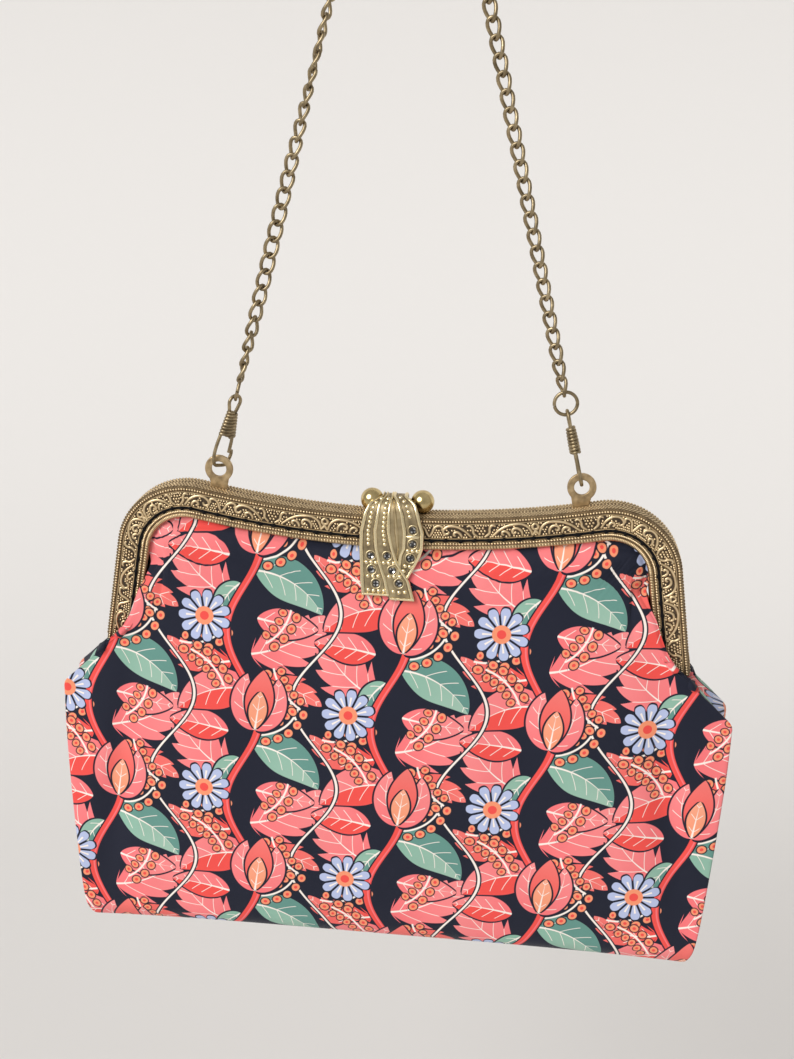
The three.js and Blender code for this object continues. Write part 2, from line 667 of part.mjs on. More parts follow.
// Chain over its peg: straight runs that touch the bend, the same on both sides
function chainRoute() {
  const bend = PEG_RADIUS + CHAIN_RADIUS;
  const [lean, upright] = [Math.sin(CHAIN_LEAN), Math.cos(CHAIN_LEAN)];
  const centre = TAB_HOLE_Z + (TAB_X * upright - bend) / lean;
  const touch = new THREE.Vector3(bend * upright, 0, centre + bend * lean);
  const start = new THREE.Vector3(TAB_X - CHAIN_START * lean, 0, TAB_HOLE_Z + CHAIN_START * upright);
  const right = [];
  for (let i = 0; i < RUN_STEPS; i += 1) right.push(start.clone().lerp(touch, i / RUN_STEPS));
  for (let i = 0; i < BEND_STEPS / 2; i += 1) {
    const angle = lerp(CHAIN_LEAN, Math.PI / 2, i / (BEND_STEPS / 2));
    right.push(new THREE.Vector3(bend * Math.cos(angle), 0, centre + bend * Math.sin(angle)));
  }
  const left = right.map((p) => new THREE.Vector3(-p.x, p.y, p.z)).reverse();
  return { points: [...right, new THREE.Vector3(0, 0, centre + bend), ...left], hang: centre + PEG_RADIUS };
}

// Depth of the folds at a point of the pouch's face
function foldDepth(x, z) {
  let depth = 0;
  for (const { x0, z0, x1, z1, wide, deep } of FOLDS) {
    const [ux, uz] = [x1 - x0, z1 - z0];
    const along = THREE.MathUtils.clamp(((x - x0) * ux + (z - z0) * uz) / (ux * ux + uz * uz), 0, 1);
    const away = Math.hypot(x - x0 - along * ux, z - z0 - along * uz);
    depth += deep * Math.exp(-((away / wide) ** 2)) * Math.sin(Math.PI * lerp(FOLD_END, 1 - FOLD_END, along));
  }
  return depth;
}

// One column of the panel, top edge to bottom seam, as points with y forwards
function clothColumn({ share, tuck, depth }, side) {
  const overLeg = THREE.MathUtils.smoothstep(share, OVER_LEG.from, OVER_LEG.to);
  const left = lerp(1, LIP_FADE, overLeg);
  const points = LIP_ROWS.map(({ inwards, forward }) => {
    const p = framePoint(side * share * (frameLine.length + BELOW_LEG), tuck + inwards * left);
    return new THREE.Vector3(p.x, depth + forward * left, p.z);
  });
  for (const { middle, side: sideHeight, wide, edge, seam, belly } of CLOTH_ROWS) {
    const out = Math.min(share / CORNER_SHARE, 1);
    const x = share === 1 ? seam : wide * out;
    const z = lerp(middle, sideHeight, out ** SIDE_DROP);
    const round = edge + (belly - edge) * (1 - out ** FACE_ROUNDNESS);
    const y = share === 1 ? SEAM_GAP : Math.max(round - foldDepth(side * x, z), SEAM_GAP);
    points.push(new THREE.Vector3(side * x, y, z));
  }
  if (share === 1) points[LIP_ROWS.length - 1].set(side * SEAM_TOP.x, SEAM_GAP, LEG_END - SEAM_TOP.below);
  return points;
}

// A wall of cloth under a grid of points, thickened inwards, as one closed body
function clothGeometry(front) {
  const half = CLOTH_COLUMNS.slice(1);
  const left = half.map((c) => clothColumn(c, -1)).reverse();
  const columns = [...left, ...CLOTH_COLUMNS.map((c) => clothColumn(c, 1))];
  const [across, down] = [columns.length, columns[0].length];
  const outer = columns.flat();
  const faces = [];
  for (let i = 0; i + 1 < across; i += 1) {
    for (let j = 0; j + 1 < down; j += 1) {
      const [a, b, c, d] = [i * down + j, (i + 1) * down + j, (i + 1) * down + j + 1, i * down + j + 1];
      faces.push(a, b, c, a, c, d);
    }
  }
  const skin = meshGeometry(outer, faces);
  skin.computeVertexNormals();
  const normals = skin.attributes.normal;
  const inner = outer.map((p, i) => {
    const out = new THREE.Vector3().fromBufferAttribute(normals, i);
    const q = p.clone().addScaledVector(out, -CLOTH);
    return q.setY(Math.max(q.y, SEAM_GAP));
  });
  const total = outer.length;
  const triangles = [...faces];
  for (let i = 0; i < faces.length; i += 3) {
    triangles.push(faces[i] + total, faces[i + 2] + total, faces[i + 1] + total);
  }
  const rim = [];
  const last = (across - 1) * down;
  for (let j = 0; j < down - 1; j += 1) rim.push([j, j + 1], [last + j + 1, last + j]);
  for (let i = 0; i < across - 1; i += 1) {
    rim.push([(i + 1) * down, i * down], [(i + 1) * down - 1, (i + 2) * down - 1]);
  }
  for (const [a, b] of rim) triangles.push(a, b, b + total, a, b + total, a + total);
  const points = [...outer, ...inner].map((p) => new THREE.Vector3(p.x, -front * p.y, p.z));
  return facingOut(meshGeometry(points, triangles));
}

const bronze = new THREE.MeshStandardMaterial({ color: COLOURS.bronze, roughness: 0.42, metalness: 0.9 });
const darkBronze = new THREE.MeshStandardMaterial({
  color: COLOURS.darkBronze,
  roughness: 0.45,
  metalness: 0.9,
});
const cloth = new THREE.MeshStandardMaterial({ color: COLOURS.cloth, roughness: 0.9, metalness: 0 });
const stone = new THREE.MeshStandardMaterial({ color: COLOURS.stone, roughness: 0.05, metalness: 0.2 });

const chain = chainRoute();
const purse = new THREE.Group();
purse.position.z = -chain.hang;

function place(name, geometry, material, parent = purse) {
  const mesh = new THREE.Mesh(geometry, material);
  mesh.name = name;
  parent.add(mesh);
}

place('frame_front', geometryOf(halfFrame(1)), bronze);
const slots = [-1, 1].map((side) => solidOf(tabSlot(side)));
place('frame_rear', geometryOf(slots.reduce((solid, slot) => solid.subtract(slot), halfFrame(-1))), bronze);
place('ball_bar', ballBarGeometry(), bronze);
place('clasp_plate', claspGeometry().translate(0, 0, BALL.z), bronze);
STONES.forEach((spot, i) => place(`stone_${i + 1}`, stoneGeometry(spot).translate(0, 0, BALL.z), stone));

for (const [name, side] of [['left', -1], ['right', 1]]) {
  place(`hinge_pin_${name}`, rivetGeometry(side), bronze);
  place(`tab_${name}`, geometryOf(solidOf(tabGeometry(side))), bronze);
  const line = new THREE.Group();
  line.position.set(side * TAB_X, TAB.y, TAB_HOLE_Z);
  line.rotation.y = -side * CHAIN_LEAN;
  purse.add(line);
  const hook = new THREE.Group();
  hook.rotation.z = HOOK_TURN[name];
  line.add(hook);
  place(`hook_${name}`, hookGeometry(), darkBronze, hook);
  const ring = new THREE.TorusGeometry(JUMP_RING, WIRE, ROUND_SIDES.wire, RING_STEPS.jumpRing);
  ring.rotateX(Math.PI / 2).rotateZ(RING_TURN[name]).translate(0, 0, RING_AT);
  place(`jump_ring_${name}`, geometryOf(solidOf(ring)), darkBronze, line);
}
place('chain', geometryOf(solidOf(wireGeometry(chain.points, CHAIN_RADIUS, ROUND_SIDES.chain))), darkBronze);
place('panel_front', clothGeometry(1), cloth);
place('panel_back', clothGeometry(-1), cloth);

export default purse;
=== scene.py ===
import json
import math

import bpy
import numpy as np
from mathutils import Matrix, Vector


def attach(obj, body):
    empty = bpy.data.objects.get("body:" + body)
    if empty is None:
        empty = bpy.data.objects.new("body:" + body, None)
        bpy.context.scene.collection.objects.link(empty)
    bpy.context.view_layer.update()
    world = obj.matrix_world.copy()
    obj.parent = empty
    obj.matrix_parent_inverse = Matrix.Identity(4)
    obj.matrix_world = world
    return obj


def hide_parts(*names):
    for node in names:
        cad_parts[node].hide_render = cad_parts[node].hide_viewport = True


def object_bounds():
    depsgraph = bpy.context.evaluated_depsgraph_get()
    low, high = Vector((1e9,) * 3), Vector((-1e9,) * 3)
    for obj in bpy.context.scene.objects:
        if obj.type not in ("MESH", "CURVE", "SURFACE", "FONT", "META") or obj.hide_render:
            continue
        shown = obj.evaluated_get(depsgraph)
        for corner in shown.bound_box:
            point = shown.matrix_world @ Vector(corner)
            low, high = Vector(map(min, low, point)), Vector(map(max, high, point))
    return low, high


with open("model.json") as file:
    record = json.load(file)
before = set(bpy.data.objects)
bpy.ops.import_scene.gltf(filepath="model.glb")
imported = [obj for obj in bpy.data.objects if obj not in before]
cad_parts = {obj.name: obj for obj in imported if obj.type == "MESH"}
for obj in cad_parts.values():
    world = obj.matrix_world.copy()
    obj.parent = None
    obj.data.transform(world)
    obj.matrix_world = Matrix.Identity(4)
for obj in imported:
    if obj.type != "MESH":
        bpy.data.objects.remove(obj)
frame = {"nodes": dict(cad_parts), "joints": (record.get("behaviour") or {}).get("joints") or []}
CAD_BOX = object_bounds()

# Camera: the hanging purse is seen a little from above and from its right, through a normal lens.
# Its place is in millimetres from the point where the chain hangs, its turn in degrees.
MM = 0.001
PICTURE_HIGH = 1059
FOCAL_PIXELS = 1300
FILM = 36.0
CAMERA_PLACE = (41.9, -422.2, -103.3)
CAMERA_TURN = (71.175, -1.259, 6.079)

bpy.ops.object.camera_add(
    location=Vector(CAMERA_PLACE) * MM,
    rotation=[math.radians(angle) for angle in CAMERA_TURN],
)
camera = bpy.context.object
camera.data.sensor_width = FILM
camera.data.lens = FILM * FOCAL_PIXELS / PICTURE_HIGH
bpy.context.scene.camera = camera

# Frame halves: each is a stamped bronze strip bent to a hollow top, round corners and splayed legs.
# From its outer edge inwards it has a bead row, a scroll band on a pebbled ground, the groove for the
# sewing thread, a second bead row and a ribbed lip. The outer wall is knurled.
PIN_Z = -0.95  # height of the clasp's pin, from the top of the frame at the tabs
HANG = PIN_Z - frame["joints"][0]["pos_m"][2] / MM
TOP_DIP = 5.2
TOP_RADIUS = 355.0
CORNER_RADIUS = 24.5
LEG_SPLAY = math.radians(9)
LEG_HALF_WIDTH = 102.2
LEG_HEIGHT = -50.0
LEG_END = -57.0


def at(x, y, z):
    """A point in metres, from millimetres with z counted from the top of the frame at the tabs."""
    return Vector((x, y, z - HANG)) * MM


def frame_line():
    """The outer edge, as arcs that touch: where the top ends, where the corner ends, and its whole length."""
    top_z = TOP_RADIUS - TOP_DIP
    out_x, out_z = math.cos(LEG_SPLAY), math.sin(LEG_SPLAY)
    reach = LEG_HALF_WIDTH * out_x + LEG_HEIGHT * out_z - CORNER_RADIUS
    apart = TOP_RADIUS + CORNER_RADIUS
    fall = math.sqrt(apart ** 2 - (reach - out_z * top_z) ** 2)
    corner_z = out_z * reach + out_x ** 2 * top_z - out_x * fall
    corner_x = (reach - out_z * corner_z) / out_x
    rise = math.atan2(corner_x, top_z - corner_z)
    turn = rise + math.pi / 2 - LEG_SPLAY
    top_end = TOP_RADIUS * rise
    corner_end = top_end + CORNER_RADIUS * turn
    leg = (corner_z + CORNER_RADIUS * out_z - LEG_END) / out_x
    return {
        "top_z": top_z, "corner": (corner_x, corner_z), "rise": rise, "turn": turn,
        "top_end": top_end, "corner_end": corner_end, "leg": leg, "length": corner_end + leg,
    }


LINE = frame_line()


def frame_point(s, n):
    """Where the face is at s along the outer edge from the middle and n inwards: x, z, the edge's angle."""
    side = -1 if s < 0 else 1
    along = abs(s)
    angle = along / TOP_RADIUS
    x = TOP_RADIUS * math.sin(angle)
    z = LINE["top_z"] - TOP_RADIUS * math.cos(angle)
    if along > LINE["top_end"]:
        angle = LINE["rise"] - min((along - LINE["top_end"]) / CORNER_RADIUS, LINE["turn"])
        x = LINE["corner"][0] - CORNER_RADIUS * math.sin(angle)
        z = LINE["corner"][1] + CORNER_RADIUS * math.cos(angle)
    if along > LINE["corner_end"]:
        x += (along - LINE["corner_end"]) * math.cos(angle)
        z += (along - LINE["corner_end"]) * math.sin(angle)
    return side * (x + n * math.sin(angle)), z - n * math.cos(angle), side * angle


# Section of the front half: n inwards, y forwards, and how rubbed bright the metal is
SECTION = [
    (0.0, 0.15, 0.4), (0.0, 4.5, 0.45), (0.25, 5.0, 0.4), (1.65, 5.0, 0.2), (1.8, 5.25, 0.6),
    (2.1, 5.25, 0.6), (2.25, 4.9, 0.04), (6.75, 4.9, 0.04), (6.9, 5.25, 0.6), (7.2, 5.25, 0.6),
    (7.4, 4.5, 0.0), (8.0, 4.5, 0.0), (8.2, 5.1, 0.45), (9.55, 5.1, 0.2), (9.8, 5.3, 0.45),
    (10.8, 5.3, 0.5), (11.2, 4.9, 0.5), (11.2, 4.2, 0.3), (1.3, 4.0, 0.1), (1.3, 0.15, 0.1),
]
BAND_FROM, BAND_TO, BAND_GROUND = 2.25, 6.75, 4.9
CORNER_STEPS, TOP_STEPS = 24, 40
FRAME_MERGE, FRAME_CREASE = 0.001, 28


def select_only(piece):
    """Makes a piece the only one in hand."""
    bpy.ops.object.select_all(action="DESELECT")
    piece.select_set(True)
    bpy.context.view_layer.objects.active = piece


def set_rub(mesh, values):
    """Keeps at each point of a mesh how rubbed bright the metal is there."""
    rub = mesh.attributes.new("rub", "FLOAT", "POINT")
    rub.data.foreach_set("value", np.array(values, dtype=np.float32))


def close_up(merge, fill=True):
    """Merges doubled points in edit mode, fills open ends or clears loose edges, and turns faces outwards."""
    bpy.ops.mesh.select_all(action="SELECT")
    bpy.ops.mesh.remove_doubles(threshold=merge * MM)
    if fill:
        bpy.ops.mesh.fill_holes(sides=0)
    else:
        bpy.ops.mesh.delete_loose()
    bpy.ops.mesh.select_all(action="SELECT")
    bpy.ops.mesh.normals_make_consistent(inside=False)
    bpy.ops.object.mode_set(mode="OBJECT")


bpy.ops.object.select_all(action="DESELECT")
bpy.ops.mesh.primitive_circle_add(vertices=len(SECTION), radius=MM)
half_frame = bpy.context.object
for vertex, (n, y, worn) in zip(half_frame.data.vertices, SECTION):
    x, z, angle = frame_point(-LINE["length"], n)
    vertex.co = at(x, -y, z)
set_rub(half_frame.data, [worn for n, y, worn in SECTION])
leg_run = Vector((math.sin(LEG_SPLAY), 0, math.cos(LEG_SPLAY))) * LINE["leg"] * MM
bpy.ops.object.mode_set(mode="EDIT")
bpy.ops.mesh.select_all(action="SELECT")
bpy.ops.mesh.extrude_region_move(TRANSFORM_OT_translate={"value": leg_run})
for steps, angle, centre in (
    (CORNER_STEPS, LINE["turn"], at(-LINE["corner"][0], 0, LINE["corner"][1])),
    (TOP_STEPS, -2 * LINE["rise"], at(0, 0, LINE["top_z"])),
    (CORNER_STEPS, LINE["turn"], at(LINE["corner"][0], 0, LINE["corner"][1])),
):
    bpy.ops.mesh.spin(steps=steps, angle=-angle, center=centre, axis=(0, 1, 0))
bpy.ops.mesh.extrude_region_move(TRANSFORM_OT_translate={"value": leg_run.reflect(Vector((0, 0, 1)))})
close_up(FRAME_MERGE)
bpy.ops.object.shade_smooth_by_angle(angle=math.radians(FRAME_CREASE))


def seat(s, n, y, outwards=False):
    """A small frame on the metal, its z axis pointing out of the face, or out of the outer wall."""
    x, z, angle = frame_point(s, n)
    along = Vector((math.cos(angle), 0, math.sin(angle)))
    inwards = Vector((math.sin(angle), 0, -math.cos(angle)))
    axes = (along, Vector((0, 1, 0)), -inwards) if outwards else (-along, inwards, Vector((0, -1, 0)))
    return Matrix.Translation(at(x, -y, z)) @ Matrix(axes).transposed().to_4x4()


def take_shape(piece):
    """The points and faces of a small master shape, which is then removed."""
    points = np.array([v.co for v in piece.data.vertices])
    faces = [list(p.vertices) for p in piece.data.polygons]
    bpy.data.objects.remove(piece, do_unlink=True)
    return points, faces


DOME_FOOT = 0.05  # a dome goes on below its middle by this share of its radius


def domed(radius, height, segments, rings):
    """A low dome that stands on its rim, by cutting a ball in half."""
    bpy.ops.object.select_all(action="DESELECT")
    bpy.ops.mesh.primitive_uv_sphere_add(segments=segments, ring_count=rings, radius=radius * MM)
    ball = bpy.context.object
    bpy.ops.object.mode_set(mode="EDIT")
    bpy.ops.mesh.select_all(action="SELECT")
    bpy.ops.mesh.bisect(plane_co=(0, 0, -DOME_FOOT * radius * MM), plane_no=(0, 0, 1), clear_inner=True)
    bpy.ops.mesh.select_all(action="SELECT")
    bpy.ops.transform.resize(value=(1, 1, height / radius), center_override=(0, 0, 0))
    bpy.ops.object.mode_set(mode="OBJECT")
    return take_shape(ball)


def strew(name, shape, places, low=0.1, high=1.0):
    """Copies of a small shape as one mesh, rubbed bright towards the top of each copy."""
    points, faces = shape
    turns = np.array([np.array(place)[:3] for place in places])
    spread = np.einsum("kij,pj->kpi", turns[:, :, :3], points) + turns[:, None, :, 3]
    every = [[v + k * len(points) for v in face] for k in range(len(places)) for face in faces]
    mesh = bpy.data.meshes.new(name)
    mesh.from_pydata(spread.reshape(-1, 3).tolist(), [], every)
    height = (points[:, 2] - points[:, 2].min()) / np.ptp(points[:, 2])
    set_rub(mesh, np.tile(low + (high - low) * height, len(places)))
    mesh.shade_smooth()
    piece = bpy.data.objects.new(name, mesh)
    bpy.context.scene.collection.objects.link(piece)
    return piece


def wires(name, runs, radius, sides=1, smooth=3, closed=False):
    """Round wire bent along runs of points, each point with its own thickness, as one mesh."""
    curve = bpy.data.curves.new(name, "CURVE")
    curve.dimensions = "3D"
    curve.bevel_depth = radius * MM
    curve.bevel_resolution = sides
    curve.resolution_u = smooth
    curve.use_fill_caps = True
    for run in runs:
        spline = curve.splines.new("BEZIER")
        spline.bezier_points.add(len(run) - 1)
        spline.use_cyclic_u = closed
        for knot, (point, thick) in zip(spline.bezier_points, run):
            knot.co = point
            knot.radius = thick
            knot.handle_left_type = knot.handle_right_type = "AUTO"
    piece = bpy.data.objects.new(name, curve)
    bpy.context.scene.collection.objects.link(piece)
    select_only(piece)
    bpy.ops.object.convert(target="MESH")
    piece.data.shade_smooth()
    return piece


def joined(name, pieces):
    """Several meshes made one piece, under a name."""
    select_only(pieces[0])
    for piece in pieces[1:]:
        piece.select_set(True)
    bpy.ops.object.join()
    pieces[0].name = name
    return pieces[0]


# Half of the ornament's repeat, from a pierced cell at 0 to a heart: how far along the band, and what
# share of the way across it
HALF_REPEAT = 35.5
CELL_AT = 47.0
SCROLLS = [
    [(1.2, 0.98), (1.7, 0.55), (3.6, 0.12), (7.4, 0.06), (11.2, 0.34), (14.6, 0.96)],
    [(4.4, 0.98), (4.7, 0.6), (6.2, 0.36), (7.7, 0.52), (7.2, 0.76), (6.5, 0.62)],
    [(8.6, 0.98), (9.0, 0.72), (10.2, 0.56), (11.2, 0.72), (10.6, 0.86)],
    [(13.2, 0.14), (14.2, 0.05), (15.2, 0.3), (15.3, 0.62), (16.9, 0.97)],
    [(22.8, 0.14), (21.8, 0.05), (20.8, 0.3), (20.7, 0.62), (19.1, 0.97)],
    [(21.4, 0.96), (24.2, 0.36), (27.4, 0.07), (30.2, 0.24), (30.8, 0.58), (29.4, 0.7), (28.8, 0.5)],
    [(24.6, 0.98), (25.0, 0.72), (26.4, 0.55), (27.3, 0.74), (26.7, 0.88)],
    [(31.4, 0.42), (31.1, 0.16), (32.3, 0.06), (33.8, 0.24), (34.6, 0.62), (35.5, 0.95)],
    [(0.0, 0.06), (0.95, 0.26), (0.6, 0.5), (0.0, 0.5)],
    [(0.0, 0.5), (0.25, 0.72), (1.2, 0.98)],
]
FLOWER_AT, FLOWER_ACROSS, FLOWER_RADIUS, FLOWER_DOTS = 18.0, 0.48, 1.15, 6
REPEATS = 3
SCROLL_RADIUS, SCROLL_FLAT = 0.54, 0.72
SCROLL_HEAD, SCROLL_TAIL = 0.75, 0.8
SCROLL_DULL, SCROLL_WORN = 0.3, 0.65
LEG_CLEAR = 1.5
BAND_WIDE = BAND_TO - BAND_FROM

repeats = []
for k in range(-REPEATS, REPEATS):
    for hand in (1, -1):
        repeats.append((CELL_AT + 2 * k * HALF_REPEAT, hand))
scroll_runs, scroll_spots, flower_spots = [], [], []
for cell, hand in repeats:
    for scroll in SCROLLS:
        spots = [(cell + hand * a, BAND_FROM + b * BAND_WIDE) for a, b in scroll]
        if max(abs(s) for s, n in spots) > LINE["length"] - LEG_CLEAR:
            continue
        thick = [SCROLL_HEAD] + [1.0] * (len(spots) - 2) + [SCROLL_TAIL]
        scroll_runs.append([(seat(s, n, BAND_GROUND).translation, t) for (s, n), t in zip(spots, thick)])
        for (s0, n0), (s1, n1) in zip(spots, spots[1:]):
            scroll_spots += [(s0 + (s1 - s0) * t, n0 + (n1 - n0) * t) for t in (0, 0.25, 0.5, 0.75)]
    flower_s, flower_n = cell + hand * FLOWER_AT, BAND_FROM + FLOWER_ACROSS * BAND_WIDE
    if abs(flower_s) < LINE["length"] - 2 * LEG_CLEAR:
        flower_spots.append((flower_s, flower_n))
        for turn in 2 * np.pi * np.arange(FLOWER_DOTS) / FLOWER_DOTS:
            dot = (flower_s + FLOWER_RADIUS * math.cos(turn), flower_n + FLOWER_RADIUS * math.sin(turn))
            flower_spots.append(dot)
scroll_work = wires("scroll_work", scroll_runs, SCROLL_RADIUS, sides=1, smooth=4)
scroll_rubs = []
for vertex in scroll_work.data.vertices:
    lift = (-vertex.co.y / MM - BAND_GROUND) / SCROLL_RADIUS
    vertex.co.y = -(BAND_GROUND + lift * SCROLL_RADIUS * SCROLL_FLAT) * MM
    scroll_rubs.append(min(max(SCROLL_DULL + SCROLL_WORN * lift, 0.05), 0.95))
set_rub(scroll_work.data, scroll_rubs)

PEBBLE_PITCH, PEBBLE_CLOSE = 0.88, 0.92
PEBBLE_ROWS, PEBBLE_FIRST = 6, 0.25
PEBBLE_CLEAR, PEBBLE_STRAY = 0.76, 0.08
taken = np.array(scroll_spots + flower_spots)
rng = np.random.default_rng(7)
pebbles = []
for row in range(PEBBLE_ROWS):
    n = BAND_FROM + PEBBLE_FIRST + row * PEBBLE_PITCH * PEBBLE_CLOSE
    for s in np.arange(-LINE["length"] + LEG_CLEAR, LINE["length"] - LEG_CLEAR, PEBBLE_PITCH):
        stray_s = rng.uniform(-PEBBLE_STRAY, PEBBLE_STRAY)
        stray_n = rng.uniform(-PEBBLE_STRAY, PEBBLE_STRAY)
        spot = (s + PEBBLE_PITCH / 2 * (row % 2) + stray_s, n + stray_n)
        if np.min(np.hypot(taken[:, 0] - spot[0], taken[:, 1] - spot[1])) > PEBBLE_CLEAR:
            pebbles.append(seat(*spot, BAND_GROUND))


def stations(pitch, clear=0.8):
    """Even places along the outer edge, from one leg's end to the other's."""
    count = int((LINE["length"] - clear) / pitch)
    return [pitch * i for i in range(-count, count + 1)]


BEAD_PITCH, RIB_PITCH, KNURL_PITCH = 0.98, 0.98, 1.15
OUTER_BEADS, INNER_BEADS, LIP_RIBS = (0.95, 5.0), (8.9, 5.0), (10.35, 5.2)
RIB_WIDE = 1.9
KNURL_ROWS = (0.85, 2.0, 3.15, 4.3)
flower_dots = [seat(s, n, BAND_GROUND) for s, n in flower_spots]
outer_beads = [seat(s, *OUTER_BEADS) for s in stations(BEAD_PITCH)]
inner_beads = [seat(s, *INNER_BEADS) for s in stations(BEAD_PITCH)]
lip_ribs = [seat(s, *LIP_RIBS) @ Matrix.Diagonal((1, RIB_WIDE, 1, 1)) for s in stations(RIB_PITCH)]
knurls = []
for row, y in enumerate(KNURL_ROWS):
    for s in stations(KNURL_PITCH, LEG_CLEAR):
        knurls.append(seat(s + KNURL_PITCH / 2 * (row % 2), 0.0, y, outwards=True))
front_work = [half_frame, scroll_work]
# Domes of the relief: their radius, height, segments and rings, their places, and the rub at foot and top
for name, dome, places, low, high in (
    ("pebbles", (0.42, 0.42, 6, 4), pebbles, 0.3, 1.1),
    ("flower_dots", (0.52, 0.5, 8, 6), flower_dots, 0.1, 0.9),
    ("outer_beads", (0.45, 0.72, 8, 6), outer_beads, 0.1, 1.2),
    ("inner_beads", (0.5, 0.72, 8, 6), inner_beads, 0.2, 1.2),
    ("lip_ribs", (0.4, 0.5, 6, 4), lip_ribs, 0.15, 0.9),
    ("knurling", (0.48, 0.44, 6, 4), knurls, 0.05, 1.1),
):
    front_work.append(strew(name, domed(*dome), places, low, high))
frame_front = joined("frame_front_stamped", front_work)


def new_material(name):
    """A new material, its nodes and its shader."""
    material = bpy.data.materials.new(name)
    material.use_nodes = True
    return material, material.node_tree, material.node_tree.nodes["Principled BSDF"]


def feed(tree, made, inputs):
    """Gives a node its inputs, as values or as links."""
    for key, value in dict(inputs).items():
        if isinstance(value, bpy.types.NodeSocket):
            tree.links.new(value, made.inputs[key])
        else:
            made.inputs[key].default_value = value


def node(tree, kind, inputs=(), **settings):
    """A new shader node with its settings and inputs."""
    made = tree.nodes.new(kind)
    for key, value in settings.items():
        setattr(made, key, value)
    feed(tree, made, inputs)
    return made


def ramp(tree, factor, stops):
    """Colours by a factor, between stops."""
    made = node(tree, "ShaderNodeValToRGB", {"Fac": factor})
    while len(made.color_ramp.elements) < len(stops):
        made.color_ramp.elements.new(0.5)
    for element, (place, colour) in zip(made.color_ramp.elements, stops):
        element.position = place
        element.color = (*colour, 1)
    return made.outputs["Color"]


def cloud(tree, place, scale, detail):
    """A value that changes softly from place to place."""
    inputs = {"Vector": place, "Scale": scale, "Detail": detail}
    return node(tree, "ShaderNodeTexNoise", inputs).outputs["Fac"]


def stretched(tree, value, low, high, start=0.0, end=1.0):
    """A value that goes from low to high while another goes from start to end."""
    ranges = {"From Min": start, "From Max": end, "To Min": low, "To Max": high}
    return node(tree, "ShaderNodeMapRange", {"Value": value, **ranges}).outputs["Result"]


def fine_relief(tree, height, strength, deep):
    """The surface's direction over a relief too fine to model."""
    inputs = {"Height": height, "Strength": strength, "Distance": deep}
    return node(tree, "ShaderNodeBump", inputs).outputs["Normal"]


STAIN_SCALE, STAIN_DETAIL = 420.0, 4.0
STAIN, STAIN_FROM, STAIN_TO = 0.1, 0.3, 0.7
GRAIN_SCALE, GRAIN_DETAIL, GRAIN_DEEP = 3200.0, 2.0, 0.0001
WORN_SPREAD = 0.2
DIRT_DULL = 0.25
DIRT_METAL, DIRT_TO = 0.5, 0.4


def bronze(name, stops, rough, grain=0.12, worn=None):
    """Antiqued metal: dark brown where dirt stays, rubbed bright on the high places."""
    material, tree, shader = new_material(name)
    place = node(tree, "ShaderNodeTexCoord").outputs["Object"]
    cloudy = cloud(tree, place, STAIN_SCALE, STAIN_DETAIL)
    if worn is None:
        height = node(tree, "ShaderNodeAttribute", attribute_name="rub").outputs["Fac"]
    else:
        height = stretched(tree, cloudy, worn - WORN_SPREAD, worn + WORN_SPREAD)
    stain = stretched(tree, cloudy, -STAIN, STAIN, STAIN_FROM, STAIN_TO)
    wear = node(tree, "ShaderNodeMath", {0: height, 1: stain}, operation="ADD", use_clamp=True).outputs[0]
    feed(tree, shader, {
        "Base Color": ramp(tree, wear, stops),
        "Roughness": stretched(tree, wear, rough + DIRT_DULL, rough),
        "Metallic": stretched(tree, wear, DIRT_METAL, 1.0, end=DIRT_TO),
        "Normal": fine_relief(tree, cloud(tree, place, GRAIN_SCALE, GRAIN_DETAIL), grain, GRAIN_DEEP),
    })
    return material


BRONZE_STOPS = [
    (0.0, (0.055, 0.038, 0.024)), (0.3, (0.225, 0.156, 0.088)), (0.6, (0.55, 0.405, 0.228)),
    (1.0, (0.98, 0.78, 0.49)),
]
stamped_bronze = bronze("stamped_bronze", BRONZE_STOPS, 0.34)
frame_front.data.materials.clear()
frame_front.data.materials.append(stamped_bronze)


def copied(piece, name, place):
    """A copy of a piece with its own mesh, put in its place."""
    copy = piece.copy()
    copy.data = piece.data.copy()
    copy.name = name
    bpy.context.scene.collection.objects.link(copy)
    copy.data.transform(place)
    return copy


# The rear half is the front one turned half round
HALF_ROUND = Matrix.Rotation(math.pi, 4, "Z")
frame_rear = copied(frame_front, "frame_rear_stamped", HALF_ROUND)
for piece, cad_node in ((frame_front, "frame_front"), (frame_rear, "frame_rear")):
    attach(piece, "purse")
    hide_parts(cad_node)

# Hinge pins: short rivets through the leg ends, which let the two halves open.
# They are plain turned bronze, and the cloth covers most of them.
SIDES = {"left": -1, "right": 1}
pin_bronze = bronze("pin_bronze", BRONZE_STOPS, 0.4, worn=0.5)
for name in SIDES:
    hinge_pin = frame["nodes"][f"hinge_pin_{name}"]
    hinge_pin.data.materials.clear()
    hinge_pin.data.materials.append(pin_bronze)

# Sewing thread: thick black thread in back stitch along the groove of each half.
# It holds the cloth to the frame, and each stitch dips into the next hole.
STITCH = 4.85
THREAD_RADIUS, THREAD_CLEAR = 0.5, 9
GROOVE_AT = 7.7
WANDER = (-0.1, 0.16)
